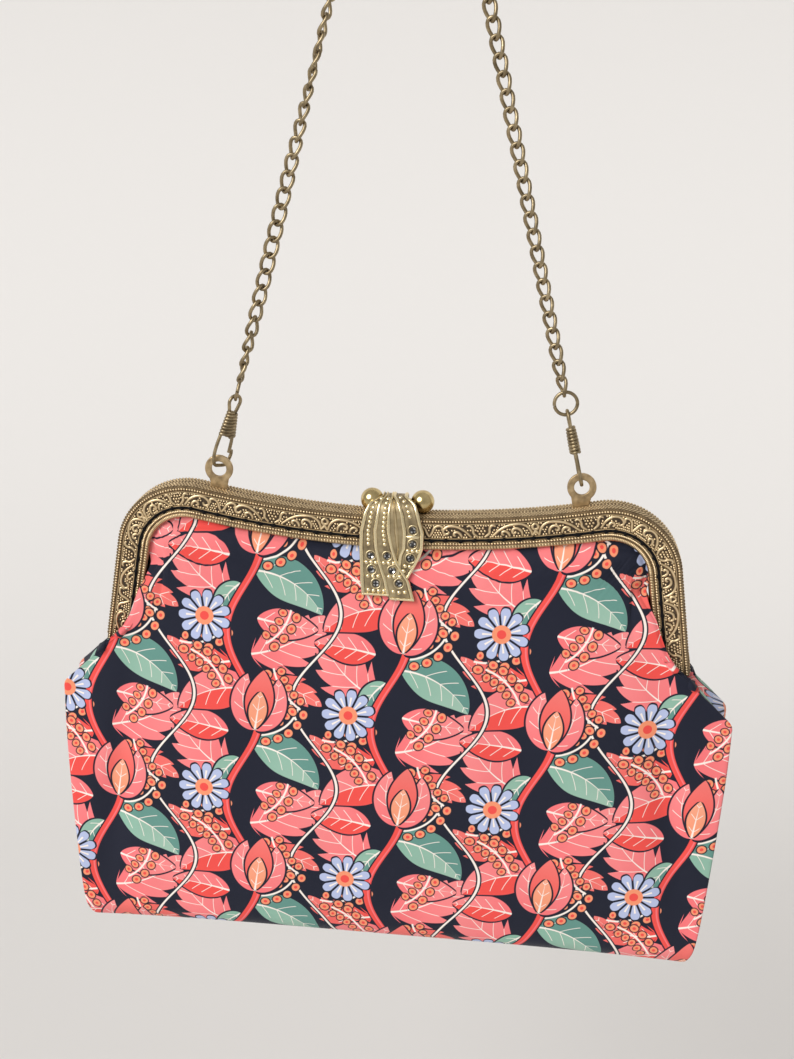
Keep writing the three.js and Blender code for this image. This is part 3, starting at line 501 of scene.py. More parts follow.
# One stitch: share of its length, how far it wanders, y forwards, thickness
STITCH_PATH = [
    (-0.54, 0, 4.4, 0.9), (-0.48, 1, 5.2, 1.5), (-0.36, 1, 5.15, 1.0), (-0.2, 1, 4.95, 0.72),
    (0.2, -1, 4.95, 0.72), (0.42, 0, 5.15, 1.3), (0.5, 0, 4.4, 0.9),
]
THREAD_STOPS = [(0.3, (0.003, 0.003, 0.003)), (0.8, (0.013, 0.013, 0.014))]
FUZZ_SCALE, FUZZ_DETAIL, FUZZ_STRENGTH, FUZZ_DEEP = 2600.0, 3.0, 0.6, 0.0002
stitches = []
for i, s in enumerate(stations(STITCH, THREAD_CLEAR)):
    stitch = []
    for share, lean, y, thick in STITCH_PATH:
        place = seat(s + share * STITCH, GROOVE_AT + WANDER[i % 2] * lean, y)
        stitch.append((place.translation, thick))
    stitches.append(stitch)
thread_front = wires("thread_front", stitches, THREAD_RADIUS, sides=1, smooth=3)
black_thread, thread_tree, thread_shader = new_material("black_thread")
thread_place = node(thread_tree, "ShaderNodeTexCoord").outputs["Object"]
fuzz = cloud(thread_tree, thread_place, FUZZ_SCALE, FUZZ_DETAIL)
feed(thread_tree, thread_shader, {
    "Base Color": ramp(thread_tree, fuzz, THREAD_STOPS),
    "Roughness": 0.85,
    "Specular IOR Level": 0.12,
    "Normal": fine_relief(thread_tree, fuzz, FUZZ_STRENGTH, FUZZ_DEEP),
})
thread_front.data.materials.append(black_thread)
thread_back = copied(thread_front, "thread_back", HALF_ROUND)
for thread in (thread_front, thread_back):
    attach(thread, "purse")

# Loop tabs: flat bronze eyes with a short neck, pushed through slots in the rear half's top.
# A wider foot under the slot holds each one, and the snap hooks go through their holes.
TAB_X = 62.2
TAB_HOLE_Z = 7.1
TAB_RING, TAB_HOLE, TAB_NECK, TAB_FOOT = 4.9, 2.6, 5.8, 8.4
TAB_THICK, TAB_EDGE, TAB_Y = 1.3, 0.3, 1.1
TAB_FOOT_TOP, TAB_FOOT_LOW, TAB_NECK_TOP = -0.4, -1.3, 1.2
TAB_FILLET = 0.12  # angle by which the ring's outline stops short of the neck
TAB_STEPS, HOLE_STEPS, TAB_CREASE = 40, 32, 30


def flat_plate(name, outlines, thick, edge):
    """A plate cut to its outlines, with rounded edges, standing in the x and z plane."""
    curve = bpy.data.curves.new(name, "CURVE")
    curve.dimensions = "2D"
    curve.fill_mode = "BOTH"
    curve.extrude = (thick / 2 - edge) * MM
    curve.bevel_depth = edge * MM
    curve.bevel_resolution = 2
    curve.offset = -edge * MM
    for outline in outlines:
        spline = curve.splines.new("POLY")
        spline.points.add(len(outline) - 1)
        spline.use_cyclic_u = True
        for knot, (x, z) in zip(spline.points, outline):
            knot.co = (x * MM, z * MM, 0, 1)
    plate = bpy.data.objects.new(name, curve)
    bpy.context.scene.collection.objects.link(plate)
    select_only(plate)
    bpy.ops.object.convert(target="MESH")
    plate.data.transform(Matrix.Rotation(math.pi / 2, 4, "X"))
    return plate


def arc(radius, start, end, count, z):
    """Points x and z on an arc about a height."""
    turns = np.linspace(start, end, count)
    return [(radius * math.cos(t), z + radius * math.sin(t)) for t in turns]


waist = math.asin(TAB_NECK / 2 / TAB_RING) + TAB_FILLET
tab_outline = [
    (-TAB_NECK / 2, TAB_FOOT_TOP), (-TAB_FOOT / 2, TAB_FOOT_TOP), (-TAB_FOOT / 2, TAB_FOOT_LOW),
    (TAB_FOOT / 2, TAB_FOOT_LOW), (TAB_FOOT / 2, TAB_FOOT_TOP), (TAB_NECK / 2, TAB_FOOT_TOP),
    (TAB_NECK / 2, TAB_NECK_TOP),
    *arc(TAB_RING, waist - math.pi / 2, 1.5 * math.pi - waist, TAB_STEPS, TAB_HOLE_Z),
    (-TAB_NECK / 2, TAB_NECK_TOP),
]
tab_hole = arc(TAB_HOLE, 2 * math.pi, 2 * math.pi / HOLE_STEPS, HOLE_STEPS, TAB_HOLE_Z)
tab_bronze = bronze("tab_bronze", BRONZE_STOPS, 0.36, worn=0.58)
for name, side in SIDES.items():
    tab = flat_plate(f"tab_{name}_cut", [tab_outline, tab_hole], TAB_THICK, TAB_EDGE)
    tab.data.transform(Matrix.Translation(at(side * TAB_X, TAB_Y, 0)))
    bpy.ops.object.shade_smooth_by_angle(angle=math.radians(TAB_CREASE))
    tab.data.materials.append(tab_bronze)
    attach(tab, "purse")
    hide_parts(f"tab_{name}")

# Ball bar: two polished balls on the ends of the pin that carries the clasp.
# A short neck with a collar under each ball stands on the rear half.
BALL_X, BALL_RADIUS, BALL_Y = 8.7, 4.0, 1.0
PIN_RADIUS = 0.9
NECK_RADIUS, NECK_Y, NECK_FOOT, NECK_TOP = 1.6, 2.1, -4.75, -2
COLLAR_RADIUS, COLLAR_HIGH, COLLAR_EDGE = 2.1, 1.0, 0.3
BALL_ROWS, BALL_STEPS, NECK_STEPS, BALL_CREASE = 20, 40, 24, 35
MERGE = 0.002


def turned(name, profile, centre, axis, away, steps):
    """A turned piece: distances along an axis and away from it, spun once round."""
    bpy.ops.object.select_all(action="DESELECT")
    bpy.ops.mesh.primitive_circle_add(vertices=len(profile), radius=MM)
    piece = bpy.context.object
    piece.name = name
    for vertex, (along, out) in zip(piece.data.vertices, profile):
        vertex.co = centre + (axis * along + away * out) * MM
    bpy.ops.object.mode_set(mode="EDIT")
    bpy.ops.mesh.select_all(action="SELECT")
    bpy.ops.mesh.spin(steps=steps, angle=2 * math.pi, center=centre, axis=axis)
    close_up(MERGE, fill=False)
    return piece


X_AXIS, Z_AXIS = Vector((1, 0, 0)), Vector((0, 0, 1))
ball_end = math.pi - math.asin(PIN_RADIUS / BALL_RADIUS)
bar_half = []
for t in np.linspace(0, ball_end, BALL_ROWS):
    bar_half.append((BALL_X + BALL_RADIUS * math.cos(t), BALL_RADIUS * math.sin(t)))
bar_profile = bar_half + [(-along, out) for along, out in bar_half[::-1]]
collar_top = NECK_FOOT + COLLAR_HIGH
neck_profile = [
    (NECK_FOOT, 0), (NECK_FOOT, COLLAR_RADIUS - COLLAR_EDGE), (NECK_FOOT + COLLAR_EDGE, COLLAR_RADIUS),
    (collar_top - COLLAR_EDGE, COLLAR_RADIUS), (collar_top, NECK_RADIUS), (NECK_TOP, NECK_RADIUS),
    (NECK_TOP, 0),
]
bar_pieces = [turned("ball_bar", bar_profile, at(0, BALL_Y, PIN_Z), X_AXIS, Z_AXIS, BALL_STEPS)]
for side in SIDES.values():
    centre = at(side * BALL_X, NECK_Y, 0)
    bar_pieces.append(turned("neck", neck_profile, centre, Z_AXIS, X_AXIS, NECK_STEPS))
ball_bar = joined("ball_bar_turned", bar_pieces)
BALL_STOPS = [(0.0, (0.12, 0.08, 0.03)), (0.5, (0.42, 0.31, 0.13)), (1.0, (0.82, 0.65, 0.33))]
bpy.ops.object.shade_smooth_by_angle(angle=math.radians(BALL_CREASE))
ball_bar.data.materials.append(bronze("ball_bronze", BALL_STOPS, 0.13, grain=0.015, worn=0.8))
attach(ball_bar, "purse")
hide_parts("ball_bar")

# Clasp plate: one bronze casting that curls over the pin and hangs down the front of the frame.
# Three ribbon strips with raised rims carry rows of grains, and a plain panel fills the gap between two.
CLASP_THICK = 1.2
CLASP_PROFILE = [
    (-2.25, -0.6), (-2.2, 0.6), (-1.0, 1.35), (1.6, 1.3), (4.4, -0.5), (5.8, -4.3), (6.5, -10.0),
    (7.3, -18.0), (8.9, -27.0), (10.2, -32.6),
]
# Edges of each strip: height on the front, x of the left edge, x of the right edge
LEFT_STRIP = [
    (1.2, -4.7, -3.2), (0.6, -6.9, -4.3), (-0.4, -9.3, -4.8), (-2.7, -10.6, -5.2), (-8.5, -11.85, -6.0),
    (-14.2, -11.9, -5.55), (-20, -11.5, -4.2), (-25.7, -11.15, -2.05), (-31.0, -10.5, -0.75),
]
MIDDLE_STRIP = [
    (1.2, -3.4, -1.2), (0.6, -4.5, -1.3), (-0.4, -5.0, -1.35), (-2.7, -5.4, -1.6), (-8.5, -6.2, -1.45),
    (-14.2, -5.75, -0.2), (-20, -4.4, 1.8), (-25.7, -2.25, 5.8), (-32.2, -0.9, 7.9),
]
PLAIN_PANEL = [
    (0.6, -1.5, -0.2), (-0.4, -1.55, 0.7), (-2.7, -1.8, 1.8), (-8.5, -1.65, 3.0), (-14.2, -0.4, 2.95),
    (-17, 0.6, 1.9), (-18.2, 1.1, 1.5),
]
RIGHT_STRIP = [
    (1.2, -1.4, 3.8), (0.6, -0.4, 5.4), (-0.4, 0.5, 7.1), (-2.7, 1.6, 8.1), (-8.5, 2.8, 10.0),
    (-14.2, 2.75, 10.0), (-17, 1.7, 9.2), (-20, 1.4, 7.8), (-24.6, 1.0, 5.4),
]
# A rim's section from the strip's edge inwards: how far in, how high over the ground, how rubbed
RIM = [
    (0.0, 0.1, 0.6), (0.14, 0.36, 0.95), (0.42, 0.48, 1.0), (0.84, 0.46, 1.0), (1.14, 0.24, 0.85),
    (1.3, 0.0, 0.05), (1.6, 0.0, 0.35),
]
RIM_SHARE = 0.3  # most of a strip's width that one rim takes
STRIP_PITCH, INNER_COLUMNS, CLASP_CREASE = 0.6, 5, 40
SINK_FROM, SINK_OVER = 15, 7
UNDER_RUB, BARE_RUB, PANEL_RUB, GROUND_RUB, HOLLOW_RUB = 0.2, 0.4, 0.55, 0.42, 0.22
CURVE_STEPS = 24


def eased(start, end, leave, arrive, t):
    """The smooth way from start to end, with the slopes at which it leaves and arrives."""
    rise = end - start
    return start + leave * t + (3 * rise - 2 * leave - arrive) * t ** 2 + (leave + arrive - 2 * rise) * t ** 3


def clasp_line():
    """The clasp's back surface, from behind the pin to the feet: y forwards and z, and the length so far."""
    knots = np.array(CLASP_PROFILE)
    knots = np.vstack([2 * knots[0] - knots[1], knots, 2 * knots[-1] - knots[-2]])
    t = np.linspace(0, 1, CURVE_STEPS, endpoint=False)[:, None]
    run = []
    for a, b, c, d in zip(knots, knots[1:], knots[2:], knots[3:]):
        ab, bc, cd = (math.sqrt(np.linalg.norm(q - p)) for p, q in ((a, b), (b, c), (c, d)))
        leave = ((b - a) / ab - (c - a) / (ab + bc) + (c - b) / bc) * bc
        arrive = ((c - b) / bc - (d - b) / (bc + cd) + (d - c) / cd) * bc
        run.append(eased(b, c, leave, arrive, t))
    run = np.vstack(run + [knots[-2:-1]])
    return run, np.concatenate([[0], np.cumsum(np.linalg.norm(np.diff(run, axis=0), axis=1))])


CLASP_RUN, CLASP_LENGTH = clasp_line()
CLASP_TANGENT = np.gradient(CLASP_RUN, axis=0)
CLASP_TOP = int(np.argmax(CLASP_RUN[:, 1]))


def clasp_down(z):
    """Length along the profile where its front comes down to a height."""
    return float(np.interp(-z, -CLASP_RUN[CLASP_TOP:, 1], CLASP_LENGTH[CLASP_TOP:]))


def clasp_height(length):
    """Height of the clasp's back surface at a length along its profile."""
    return float(np.interp(length, CLASP_LENGTH, CLASP_RUN[:, 1]))


def clasp_spot(x, length, height):
    """A place on the clasp, height over its back surface, with z along the surface's outward direction."""
    y, z = (float(np.interp(length, CLASP_LENGTH, CLASP_RUN[:, i])) for i in (0, 1))
    run = Vector([float(np.interp(length, CLASP_LENGTH, CLASP_TANGENT[:, i])) for i in (0, 1)]).normalized()
    out = Vector((0, run[1], run[0]))
    place = at(x, -y, z + PIN_Z) + out * height * MM
    across = Vector((1, 0, 0))
    return Matrix.Translation(place) @ Matrix((across, out.cross(across), out)).transposed().to_4x4()


def rim_points(edge, inwards, low, rim):
    """A rim's section from an edge inwards, or bare ground where there is no rim."""
    return [(edge + inwards * d, low + h * rim, worn if rim else BARE_RUB) for d, h, worn in RIM]


def edges_at(edges, z):
    """Where a strip's two edges are at a height."""
    heights, starts, ends = (np.array(row)[::-1] for row in zip(*edges))
    return float(np.interp(z, heights, starts)), float(np.interp(z, heights, ends))


def strip(name, edges, left_rim=True, right_rim=True, crown=0.0, sink=0.0, top=None):
    """One ribbon of the casting, a tube of sections along the profile, closed at its ends."""
    first = 0.0 if top is None else clasp_down(top)
    last = clasp_down(edges[-1][0])
    rows = int((last - first) / STRIP_PITCH) + 1
    columns = 2 + 2 * len(RIM) + INNER_COLUMNS
    places, rubs = [], []
    for length in np.linspace(first, last, rows):
        front = clasp_height(length) if length > clasp_down(edges[0][0]) else edges[0][0]
        start, end = edges_at(edges, front)
        narrow = min(1.0, RIM_SHARE * (end - start) / RIM[-2][0])
        low = CLASP_THICK - sink * min(max((-front - SINK_FROM) / SINK_OVER, 0), 1)
        reach = RIM[-1][0] * narrow
        section = [(start, 0.0, UNDER_RUB)] + rim_points(start, narrow, low, left_rim)
        for k in range(INNER_COLUMNS):
            share = (k + 1) / (INNER_COLUMNS + 1)
            arch = math.sin(math.pi * share)
            worn = PANEL_RUB if crown else GROUND_RUB - HOLLOW_RUB * arch
            section.append((start + reach + (end - start - 2 * reach) * share, low + crown * arch, worn))
        section += rim_points(end, -narrow, low, right_rim)[::-1]
        section += [(end, 0.0, UNDER_RUB), (start, 0.0, UNDER_RUB)]
        for x, height, worn in section:
            places.append(clasp_spot(x, length, height).translation)
            rubs.append(worn)
    bpy.ops.object.select_all(action="DESELECT")
    bpy.ops.mesh.primitive_grid_add(x_subdivisions=columns, y_subdivisions=rows - 1, size=MM)
    ribbon = bpy.context.object
    ribbon.name = name
    for vertex, place in zip(ribbon.data.vertices, places):
        vertex.co = place
    set_rub(ribbon.data, rubs)
    bpy.ops.object.mode_set(mode="EDIT")
    close_up(MERGE)
    bpy.ops.object.shade_smooth_by_angle(angle=math.radians(CLASP_CREASE))
    return ribbon


FOOT_IN, FOOT_LIFT, FOOT_WIRE, FOOT_RUB = 0.4, 0.08, 0.5, 0.95


def foot_rim(edges):
    """The rim across a strip's foot, from one side rim to the other."""
    z, start, end = edges[-1]
    down = clasp_down(z) - FOOT_IN
    places = np.linspace(start + FOOT_IN, end - FOOT_IN, 3)
    return [(clasp_spot(x, down, CLASP_THICK + FOOT_LIFT).translation, 1) for x in places]


# Rows of grains down the strips: the strip, length along the profile of the first grain, how many
GRAIN_ROWS = [(LEFT_STRIP, 6.6, 11), (MIDDLE_STRIP, 6.6, 11), (RIGHT_STRIP, 5.8, 5)]
GRAIN_PITCH, GRAIN_SINK = 1.52, 0.1
# Grains set between the stones: x, z
SET_GRAINS = [
    (-9.2, -19.8), (-7.6, -19.75), (-6.0, -19.8), (-8.6, -24.55), (-6.8, -24.55), (-5.0, -24.4),
    (-8.2, -29.2), (-6.4, -29.4), (-4.6, -29.4), (-2.8, -29.3), (-3.3, -19.75), (-1.6, -19.75),
    (0.1, -19.7), (-1.3, -24.4), (0.5, -24.35), (2.4, -24.3), (0.4, -29.4), (2.4, -29.6), (4.4, -29.4),
    (4.8, -15.1), (6.4, -15.1), (8.0, -15.1), (4.1, -20.4), (5.7, -20.6), (3.6, -22.2),
]
BAR_GRAIN, BAR_LONG, BAR_NARROW = (6.3, -10.2), 3.2, 0.9
CUP_RADIUS, CUP_WIRE, CUP_LIFT = 1.7, 0.2, 0.05
# Middles of the stones: x, z
STONES = [
    (-7.8, -17.3), (-7.35, -22.2), (-5.7, -26.9), (-2.2, -17.3), (-0.3, -22.15), (2.2, -26.5), (6.3, -7.8),
    (6.35, -12.6), (5.75, -17.6),
]
grains = []
for edges, first, count in GRAIN_ROWS:
    for length in first + GRAIN_PITCH * np.arange(count):
        x = sum(edges_at(edges, min(clasp_height(length), edges[0][0]))) / 2
        grains.append(clasp_spot(x, length, CLASP_THICK - GRAIN_SINK))
grains += [clasp_spot(x, clasp_down(z), CLASP_THICK - GRAIN_SINK) for x, z in SET_GRAINS]
bar_place = clasp_spot(BAR_GRAIN[0], clasp_down(BAR_GRAIN[1]), CLASP_THICK - GRAIN_SINK)
grains.append(bar_place @ Matrix.Diagonal((BAR_LONG, BAR_NARROW, 1, 1)))
bpy.ops.object.select_all(action="DESELECT")
bpy.ops.mesh.primitive_torus_add(
    major_radius=CUP_RADIUS * MM, minor_radius=CUP_WIRE * MM, major_segments=20, minor_segments=6
)
cup = take_shape(bpy.context.object)
cups = [clasp_spot(x, clasp_down(z), CLASP_THICK + CUP_LIFT) for x, z in STONES]
foot_rims = wires("foot_rims", [foot_rim(LEFT_STRIP), foot_rim(MIDDLE_STRIP)], FOOT_WIRE, sides=2, smooth=6)
set_rub(foot_rims.data, [FOOT_RUB] * len(foot_rims.data.vertices))
clasp_plate = joined(
    "clasp_plate_cast",
    [
        strip("left_strip", LEFT_STRIP),
        strip("middle_strip", MIDDLE_STRIP, left_rim=False),
        strip("right_strip", RIGHT_STRIP, sink=0.4),
        strip("plain_panel", PLAIN_PANEL, left_rim=False, right_rim=False, crown=0.45, top=PLAIN_PANEL[0][0]),
        foot_rims,
        strew("clasp_grains", domed(0.78, 0.52, 10, 6), grains, 0.4, 1.3),
        strew("stone_cups", cup, cups, 0.15, 0.75),
    ],
)
clasp_plate.data.materials.clear()
CAST_STOPS = [
    (0.0, (0.07, 0.05, 0.03)), (0.3, (0.33, 0.255, 0.145)), (0.55, (0.64, 0.52, 0.31)),
    (1.0, (0.98, 0.83, 0.52)),
]
clasp_plate.data.materials.append(bronze("cast_bronze", CAST_STOPS, 0.24, grain=0.05))
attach(clasp_plate, "clasp")
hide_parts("clasp_plate")

# Stones: nine round cut stones of black glass over foil, each with a table, star facets and crown facets.
# They are glued into cups in the clasp. Painted glints: a fixed set of facets is pale mirror metal, the rest
# black glass.
STONE_RADIUS, STONE_TABLE, STONE_HIGH = 1.55, 1.05, 0.62
STONE_SEAT = 0.05
STAR_WIDE, STAR_SINK = 0.5, 0.16
FACETS = 8
STAR_SHIFT = 3
FIRST_TURN, STONE_TURN = 0.06, 0.38
# Painted glints: how bright each crown facet is by its place round the stone; bright facets are pale mirror
# metal
GLINT_FACET_SHINE = (0.0, 0.85, 0.1, 0.0, 0.3, 1.0, 0.05, 0.55)
GLINT_FACET_STOPS = [(0.0, (0.004, 0.004, 0.005)), (0.4, (0.05, 0.047, 0.046)), (1.0, (0.82, 0.8, 0.77))]
GLINT_METAL_FROM, GLINT_METAL_TO = 0.3, 0.8
LEVEL = 0.99  # how upright a face's direction is when the face lies flat
black_glass, glass_tree, glass_shader = new_material("black_glass")
# The painted glint of each facet sets its colour and how metallic it is
glint_facets = node(glass_tree, "ShaderNodeAttribute", attribute_name="foil_glint").outputs["Fac"]
feed(glass_tree, glass_shader, {
    "Base Color": ramp(glass_tree, glint_facets, GLINT_FACET_STOPS),
    "Metallic": stretched(glass_tree, glint_facets, 0.0, 1.0, GLINT_METAL_FROM, GLINT_METAL_TO),
    "Roughness": 0.06,
    "IOR": 1.6,
    "Coat Weight": 0.6,
    "Coat Roughness": 0.03,
})
bpy.ops.object.select_all(action="DESELECT")
bpy.ops.mesh.primitive_cone_add(
    vertices=FACETS, radius1=STONE_RADIUS * MM, radius2=STONE_TABLE * MM, depth=STONE_HIGH * MM
)
cut_stone = bpy.context.object
bpy.ops.object.mode_set(mode="EDIT")
bpy.ops.mesh.select_mode(type="FACE")
bpy.ops.mesh.select_all(action="DESELECT")
bpy.ops.object.mode_set(mode="OBJECT")
for face in cut_stone.data.polygons:
    face.select = face.normal.z > LEVEL
bpy.ops.object.mode_set(mode="EDIT")
bpy.ops.mesh.inset(thickness=STAR_WIDE * MM, depth=-STAR_SINK * MM)
bpy.ops.object.mode_set(mode="OBJECT")
# Painted glints: each crown and star facet gets a fixed brightness, and the table stays black
glint_of_face = cut_stone.data.attributes.new("foil_glint", "FLOAT", "FACE")
for face in cut_stone.data.polygons:
    if abs(face.normal.z) < LEVEL:
        step = round(math.atan2(face.center.y, face.center.x) * FACETS / (2 * math.pi) - 0.5)
        star = STAR_SHIFT if math.hypot(face.center.x, face.center.y) < STONE_TABLE * MM else 0
        glint_of_face.data[face.index].value = GLINT_FACET_SHINE[(step + star) % FACETS]
cut_stone.data.materials.append(black_glass)
for i, (x, z) in enumerate(STONES):
    turn = Matrix.Rotation(2 * math.pi * (FIRST_TURN + i * STONE_TURN), 4, "Z")
    place = clasp_spot(x, clasp_down(z), CLASP_THICK + STONE_SEAT) @ turn
    stone = copied(cut_stone, f"stone_{i + 1}_cut", place)
    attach(stone, "clasp")
    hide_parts(f"stone_{i + 1}")
bpy.data.objects.remove(cut_stone, do_unlink=True)

# Snap hooks: each is one bronze wire, bent to a bow through its tab's hole, wound to a tapered coil
# that grips the bow's ends, and turned to a loop at the top.
CHAIN_LEAN = math.radians(14.1)
WIRE = 0.6
COIL_FROM, COIL_TO, COIL_WIDE, COIL_NARROW = 11.6, 21.6, 3.6, 2.1
COIL_TURNS, COIL_STEPS = 8, 12
FLAT_FOOT, FLAT_TOP = 0.54, 0.8
CORE_FOOT, CORE_TOP, CORE_THICK = 0.4, 0.6, (1.7, 1.5)
LOOP, LOOP_AT, LOOP_OVER, LOOP_STEPS = 2.35, 24.5, 0.15, 11
HOOK_TURNS = {"left": math.radians(-38), "right": math.radians(4)}
DARK_STOPS = [
    (0.0, (0.05, 0.036, 0.022)), (0.35, (0.16, 0.12, 0.07)), (0.7, (0.4, 0.315, 0.19)),
    (1.0, (0.68, 0.56, 0.36)),
]
dark_bronze = bronze("dark_bronze", DARK_STOPS, 0.32, worn=0.62)


def hang_line(side):
    """The leaning line that a hook, its ring and its chain hang in, from the hole of a tab."""
    lean = Matrix.Rotation(-side * CHAIN_LEAN, 4, "Y")
    return Matrix.Translation(at(side * TAB_X, TAB_Y, TAB_HOLE_Z)) @ lean


def bent(place, points):
    """Points in millimetres put in their place, as a run of wire of even thickness."""
    return [(place @ (Vector(point) * MM), 1) for point in points]


bow_path = [
    (0, -2.9, 12.6), (0, -3.5, 9.0), (0, -3.7, 6.0), (0, -3.5, 4.0), (0, -2.9, 2.3), (0, -2.0, 1.35),
    (0, -1.0, 1.25), (0, 1.0, 1.25), (0, 2.0, 1.35), (0, 2.9, 2.3), (0, 3.5, 4.0), (0, 3.75, 5.6),
    (0, 3.5, 6.8),
]
gate_path = [(0, 2.4, 12.6), (0, 2.6, 9.8), (0, 2.6, 7.4), (0, 2.55, 5.9)]
coil_path = []
for k in range(COIL_STEPS * COIL_TURNS + 1):
    share = k / (COIL_STEPS * COIL_TURNS)
    wide = COIL_WIDE + (COIL_NARROW - COIL_WIDE) * share
    thick = wide * (FLAT_FOOT + (FLAT_TOP - FLAT_FOOT) * share)
    turn = 2 * math.pi * k / COIL_STEPS
    height = COIL_FROM + WIRE + (COIL_TO - COIL_FROM - 2 * WIRE) * share
    coil_path.append(((thick - WIRE) * math.cos(turn), (wide - WIRE) * math.sin(turn), height))
loop_foot = [(0, 1.3, 20.8), (0, 2.0, 23.0)]
loop_path = list(loop_foot)
for t in np.linspace(-LOOP_OVER, math.pi + LOOP_OVER, LOOP_STEPS):
    loop_path.append((0, LOOP * math.cos(t), LOOP_AT + LOOP * math.sin(t)))
loop_path += [(x, -y, z) for x, y, z in loop_foot[::-1]]
core_path = [(0, 0, COIL_FROM + CORE_FOOT), (0, 0, COIL_TO - CORE_TOP)]
for name, side in SIDES.items():
    place = hang_line(side) @ Matrix.Rotation(HOOK_TURNS[name], 4, "Z")
    runs = [bent(place, wire_path) for wire_path in (bow_path, gate_path, coil_path, loop_path)]
    hook_wire = wires(f"hook_{name}_wire", runs, WIRE, sides=3)
    core = [(spot[0], thick) for spot, thick in zip(bent(place, core_path), CORE_THICK)]
    hook_core = wires(f"hook_{name}_core", [core], WIRE, sides=3)
    hook = joined(f"hook_{name}_bent", [hook_wire, hook_core])
    hook.data.materials.append(dark_bronze)
    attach(hook, "purse")
    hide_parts(f"hook_{name}")

# Jump rings: plain rings of the same wire between hook and chain, each closed with a fine butt joint.
# They hang in the hooks' loops.
JUMP_RING, RING_AT = 3.8, 29.35
RING_TURNS = {"left": math.radians(100), "right": math.radians(4)}
JOINT_GAP, RING_STEPS = 0.03, 33
ring_turns = np.linspace(math.pi + JOINT_GAP, 3 * math.pi - JOINT_GAP, RING_STEPS)
for name, side in SIDES.items():
    place = hang_line(side) @ Matrix.Rotation(RING_TURNS[name], 4, "Z")
    ring_path = [(JUMP_RING * math.cos(t), 0, RING_AT + JUMP_RING * math.sin(t)) for t in ring_turns]
    jump_ring = wires(f"jump_ring_{name}_bent", [bent(place, ring_path)], WIRE, sides=3)
    jump_ring.data.materials.append(dark_bronze)
    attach(jump_ring, "purse")
    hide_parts(f"jump_ring_{name}")

# Chain: flat curb links of bronze wire, each twisted so that the links lie in one plane.
# It runs from one jump ring over the place where it hangs to the other, and turns on its way.
LINK_LONG, LINK_WIDE, LINK_TWIST, LINK_WIRE = 3.33, 2.02, 0.7, 0.62
LINK_PITCH = 5.4
CHAIN_BEND, PEG_RADIUS = 5.0, 2.5
RUN_POINTS, BEND_POINTS = 60, 12
FIRST_LINK = RING_AT + JUMP_RING - WIRE - LINK_WIRE + LINK_LONG
# How far a link is turned from facing the front, by its distance from the jump ring
LEFT_TURNS = [
    (0, 100), (6, 84), (12, 65), (19, 45), (26, 35), (36, 15), (52, 0), (110, -90), (160, -150), (215, -180),
]
RIGHT_TURNS = [(0, 60), (8, 37), (60, 35), (150, 30), (190, 10), (215, 0)]


def chain_route():
    """Points from the first link on the left over the bend to the last one on the right, closely spaced."""
    start = hang_line(1) @ Vector((0, 0, FIRST_LINK * MM))
    centre = at(0, 0, HANG - CHAIN_BEND + PEG_RADIUS)
    touch = centre + CHAIN_BEND * MM * Vector((math.cos(CHAIN_LEAN), 0, math.sin(CHAIN_LEAN)))
    right = [start.lerp(touch, t) for t in np.linspace(0, 1, RUN_POINTS)]
    for angle in np.linspace(CHAIN_LEAN, math.pi / 2, BEND_POINTS)[1:]:
        right.append(centre + CHAIN_BEND * MM * Vector((math.cos(angle), 0, math.sin(angle))))
    left = [Vector((-p.x, p.y, p.z)) for p in right]
    return np.array(left + right[-2::-1])


bpy.ops.object.select_all(action="DESELECT")
bpy.ops.mesh.primitive_torus_add(major_segments=20, minor_segments=8, major_radius=1, minor_radius=0.5)
link = bpy.context.object
for vertex in link.data.vertices:
    t = math.atan2(vertex.co.y, vertex.co.x)
    cos, sin = math.cos(t), math.sin(t)
    ring = Vector((LINK_LONG * cos, LINK_WIDE * sin, LINK_TWIST * math.sin(2 * t)))
    run = Vector((-LINK_LONG * sin, LINK_WIDE * cos, 2 * LINK_TWIST * math.cos(2 * t))).normalized()
    out = run.cross(Z_AXIS).normalized()
    up = out.cross(run)
    lean = Vector((math.hypot(vertex.co.x, vertex.co.y) - 1, vertex.co.z)).normalized() * LINK_WIRE
    vertex.co = (ring + out * lean.x + up * lean.y) * MM
link_shape = take_shape(link)
route = chain_route()
route_length = np.concatenate([[0], np.cumsum(np.linalg.norm(np.diff(route, axis=0), axis=1))])
link_count = round(route_length[-1] / MM / LINK_PITCH)


def route_point(length):
    """The place at a length along the chain's route."""
    return Vector([np.interp(length, route_length, route[:, i]) for i in range(3)])


links = []
for k in range(link_count + 1):
    here = route_length[-1] * k / link_count
    along = (route_point(here + MM) - route_point(here - MM)).normalized()
    distance = min(here, route_length[-1] - here) / MM
    knots = LEFT_TURNS if here < route_length[-1] / 2 else RIGHT_TURNS
    turn = math.radians(np.interp(distance, *zip(*knots)))
    across = along.cross(Vector((0, -1, 0))).normalized()
    flat = Matrix((along, across, along.cross(across))).transposed().to_4x4()
    links.append(Matrix.Translation(route_point(here)) @ flat @ Matrix.Rotation(turn, 4, "X"))
chain = strew("chain_links", link_shape, links)
chain.data.materials.append(dark_bronze)
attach(chain, "purse")
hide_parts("chain")

# Cloth panels: two pieces of printed cotton, cut to the frame's curve and sewn together at the sides
# and the bottom. The top edge is tucked under the frame's lip and sewn to the groove.
CLOTH = 1.5
SEAM_GAP = 0.15
# Columns from the middle to the side seam: share of the way, how far inside the frame's edge, how deep
CLOTH_COLUMNS = [
    (0.0, 8.8, 3.7), (0.2, 8.8, 3.7), (0.4, 8.8, 3.7), (0.58, 8.8, 3.7), (0.72, 8.8, 3.7),
    (0.76, 12.2, 4.0), (0.79, 11.8, 7.0), (0.83, 9.8, 7.9), (0.87, 8.6, 8.1), (0.91, 7.0, 8.2),
    (0.95, 4.2, 8.4), (0.985, -0.6, 8.6), (1.0, -2.4, 7.4),
]
CORNER_SHARE = 0.985
BELOW_LEG = 3.0
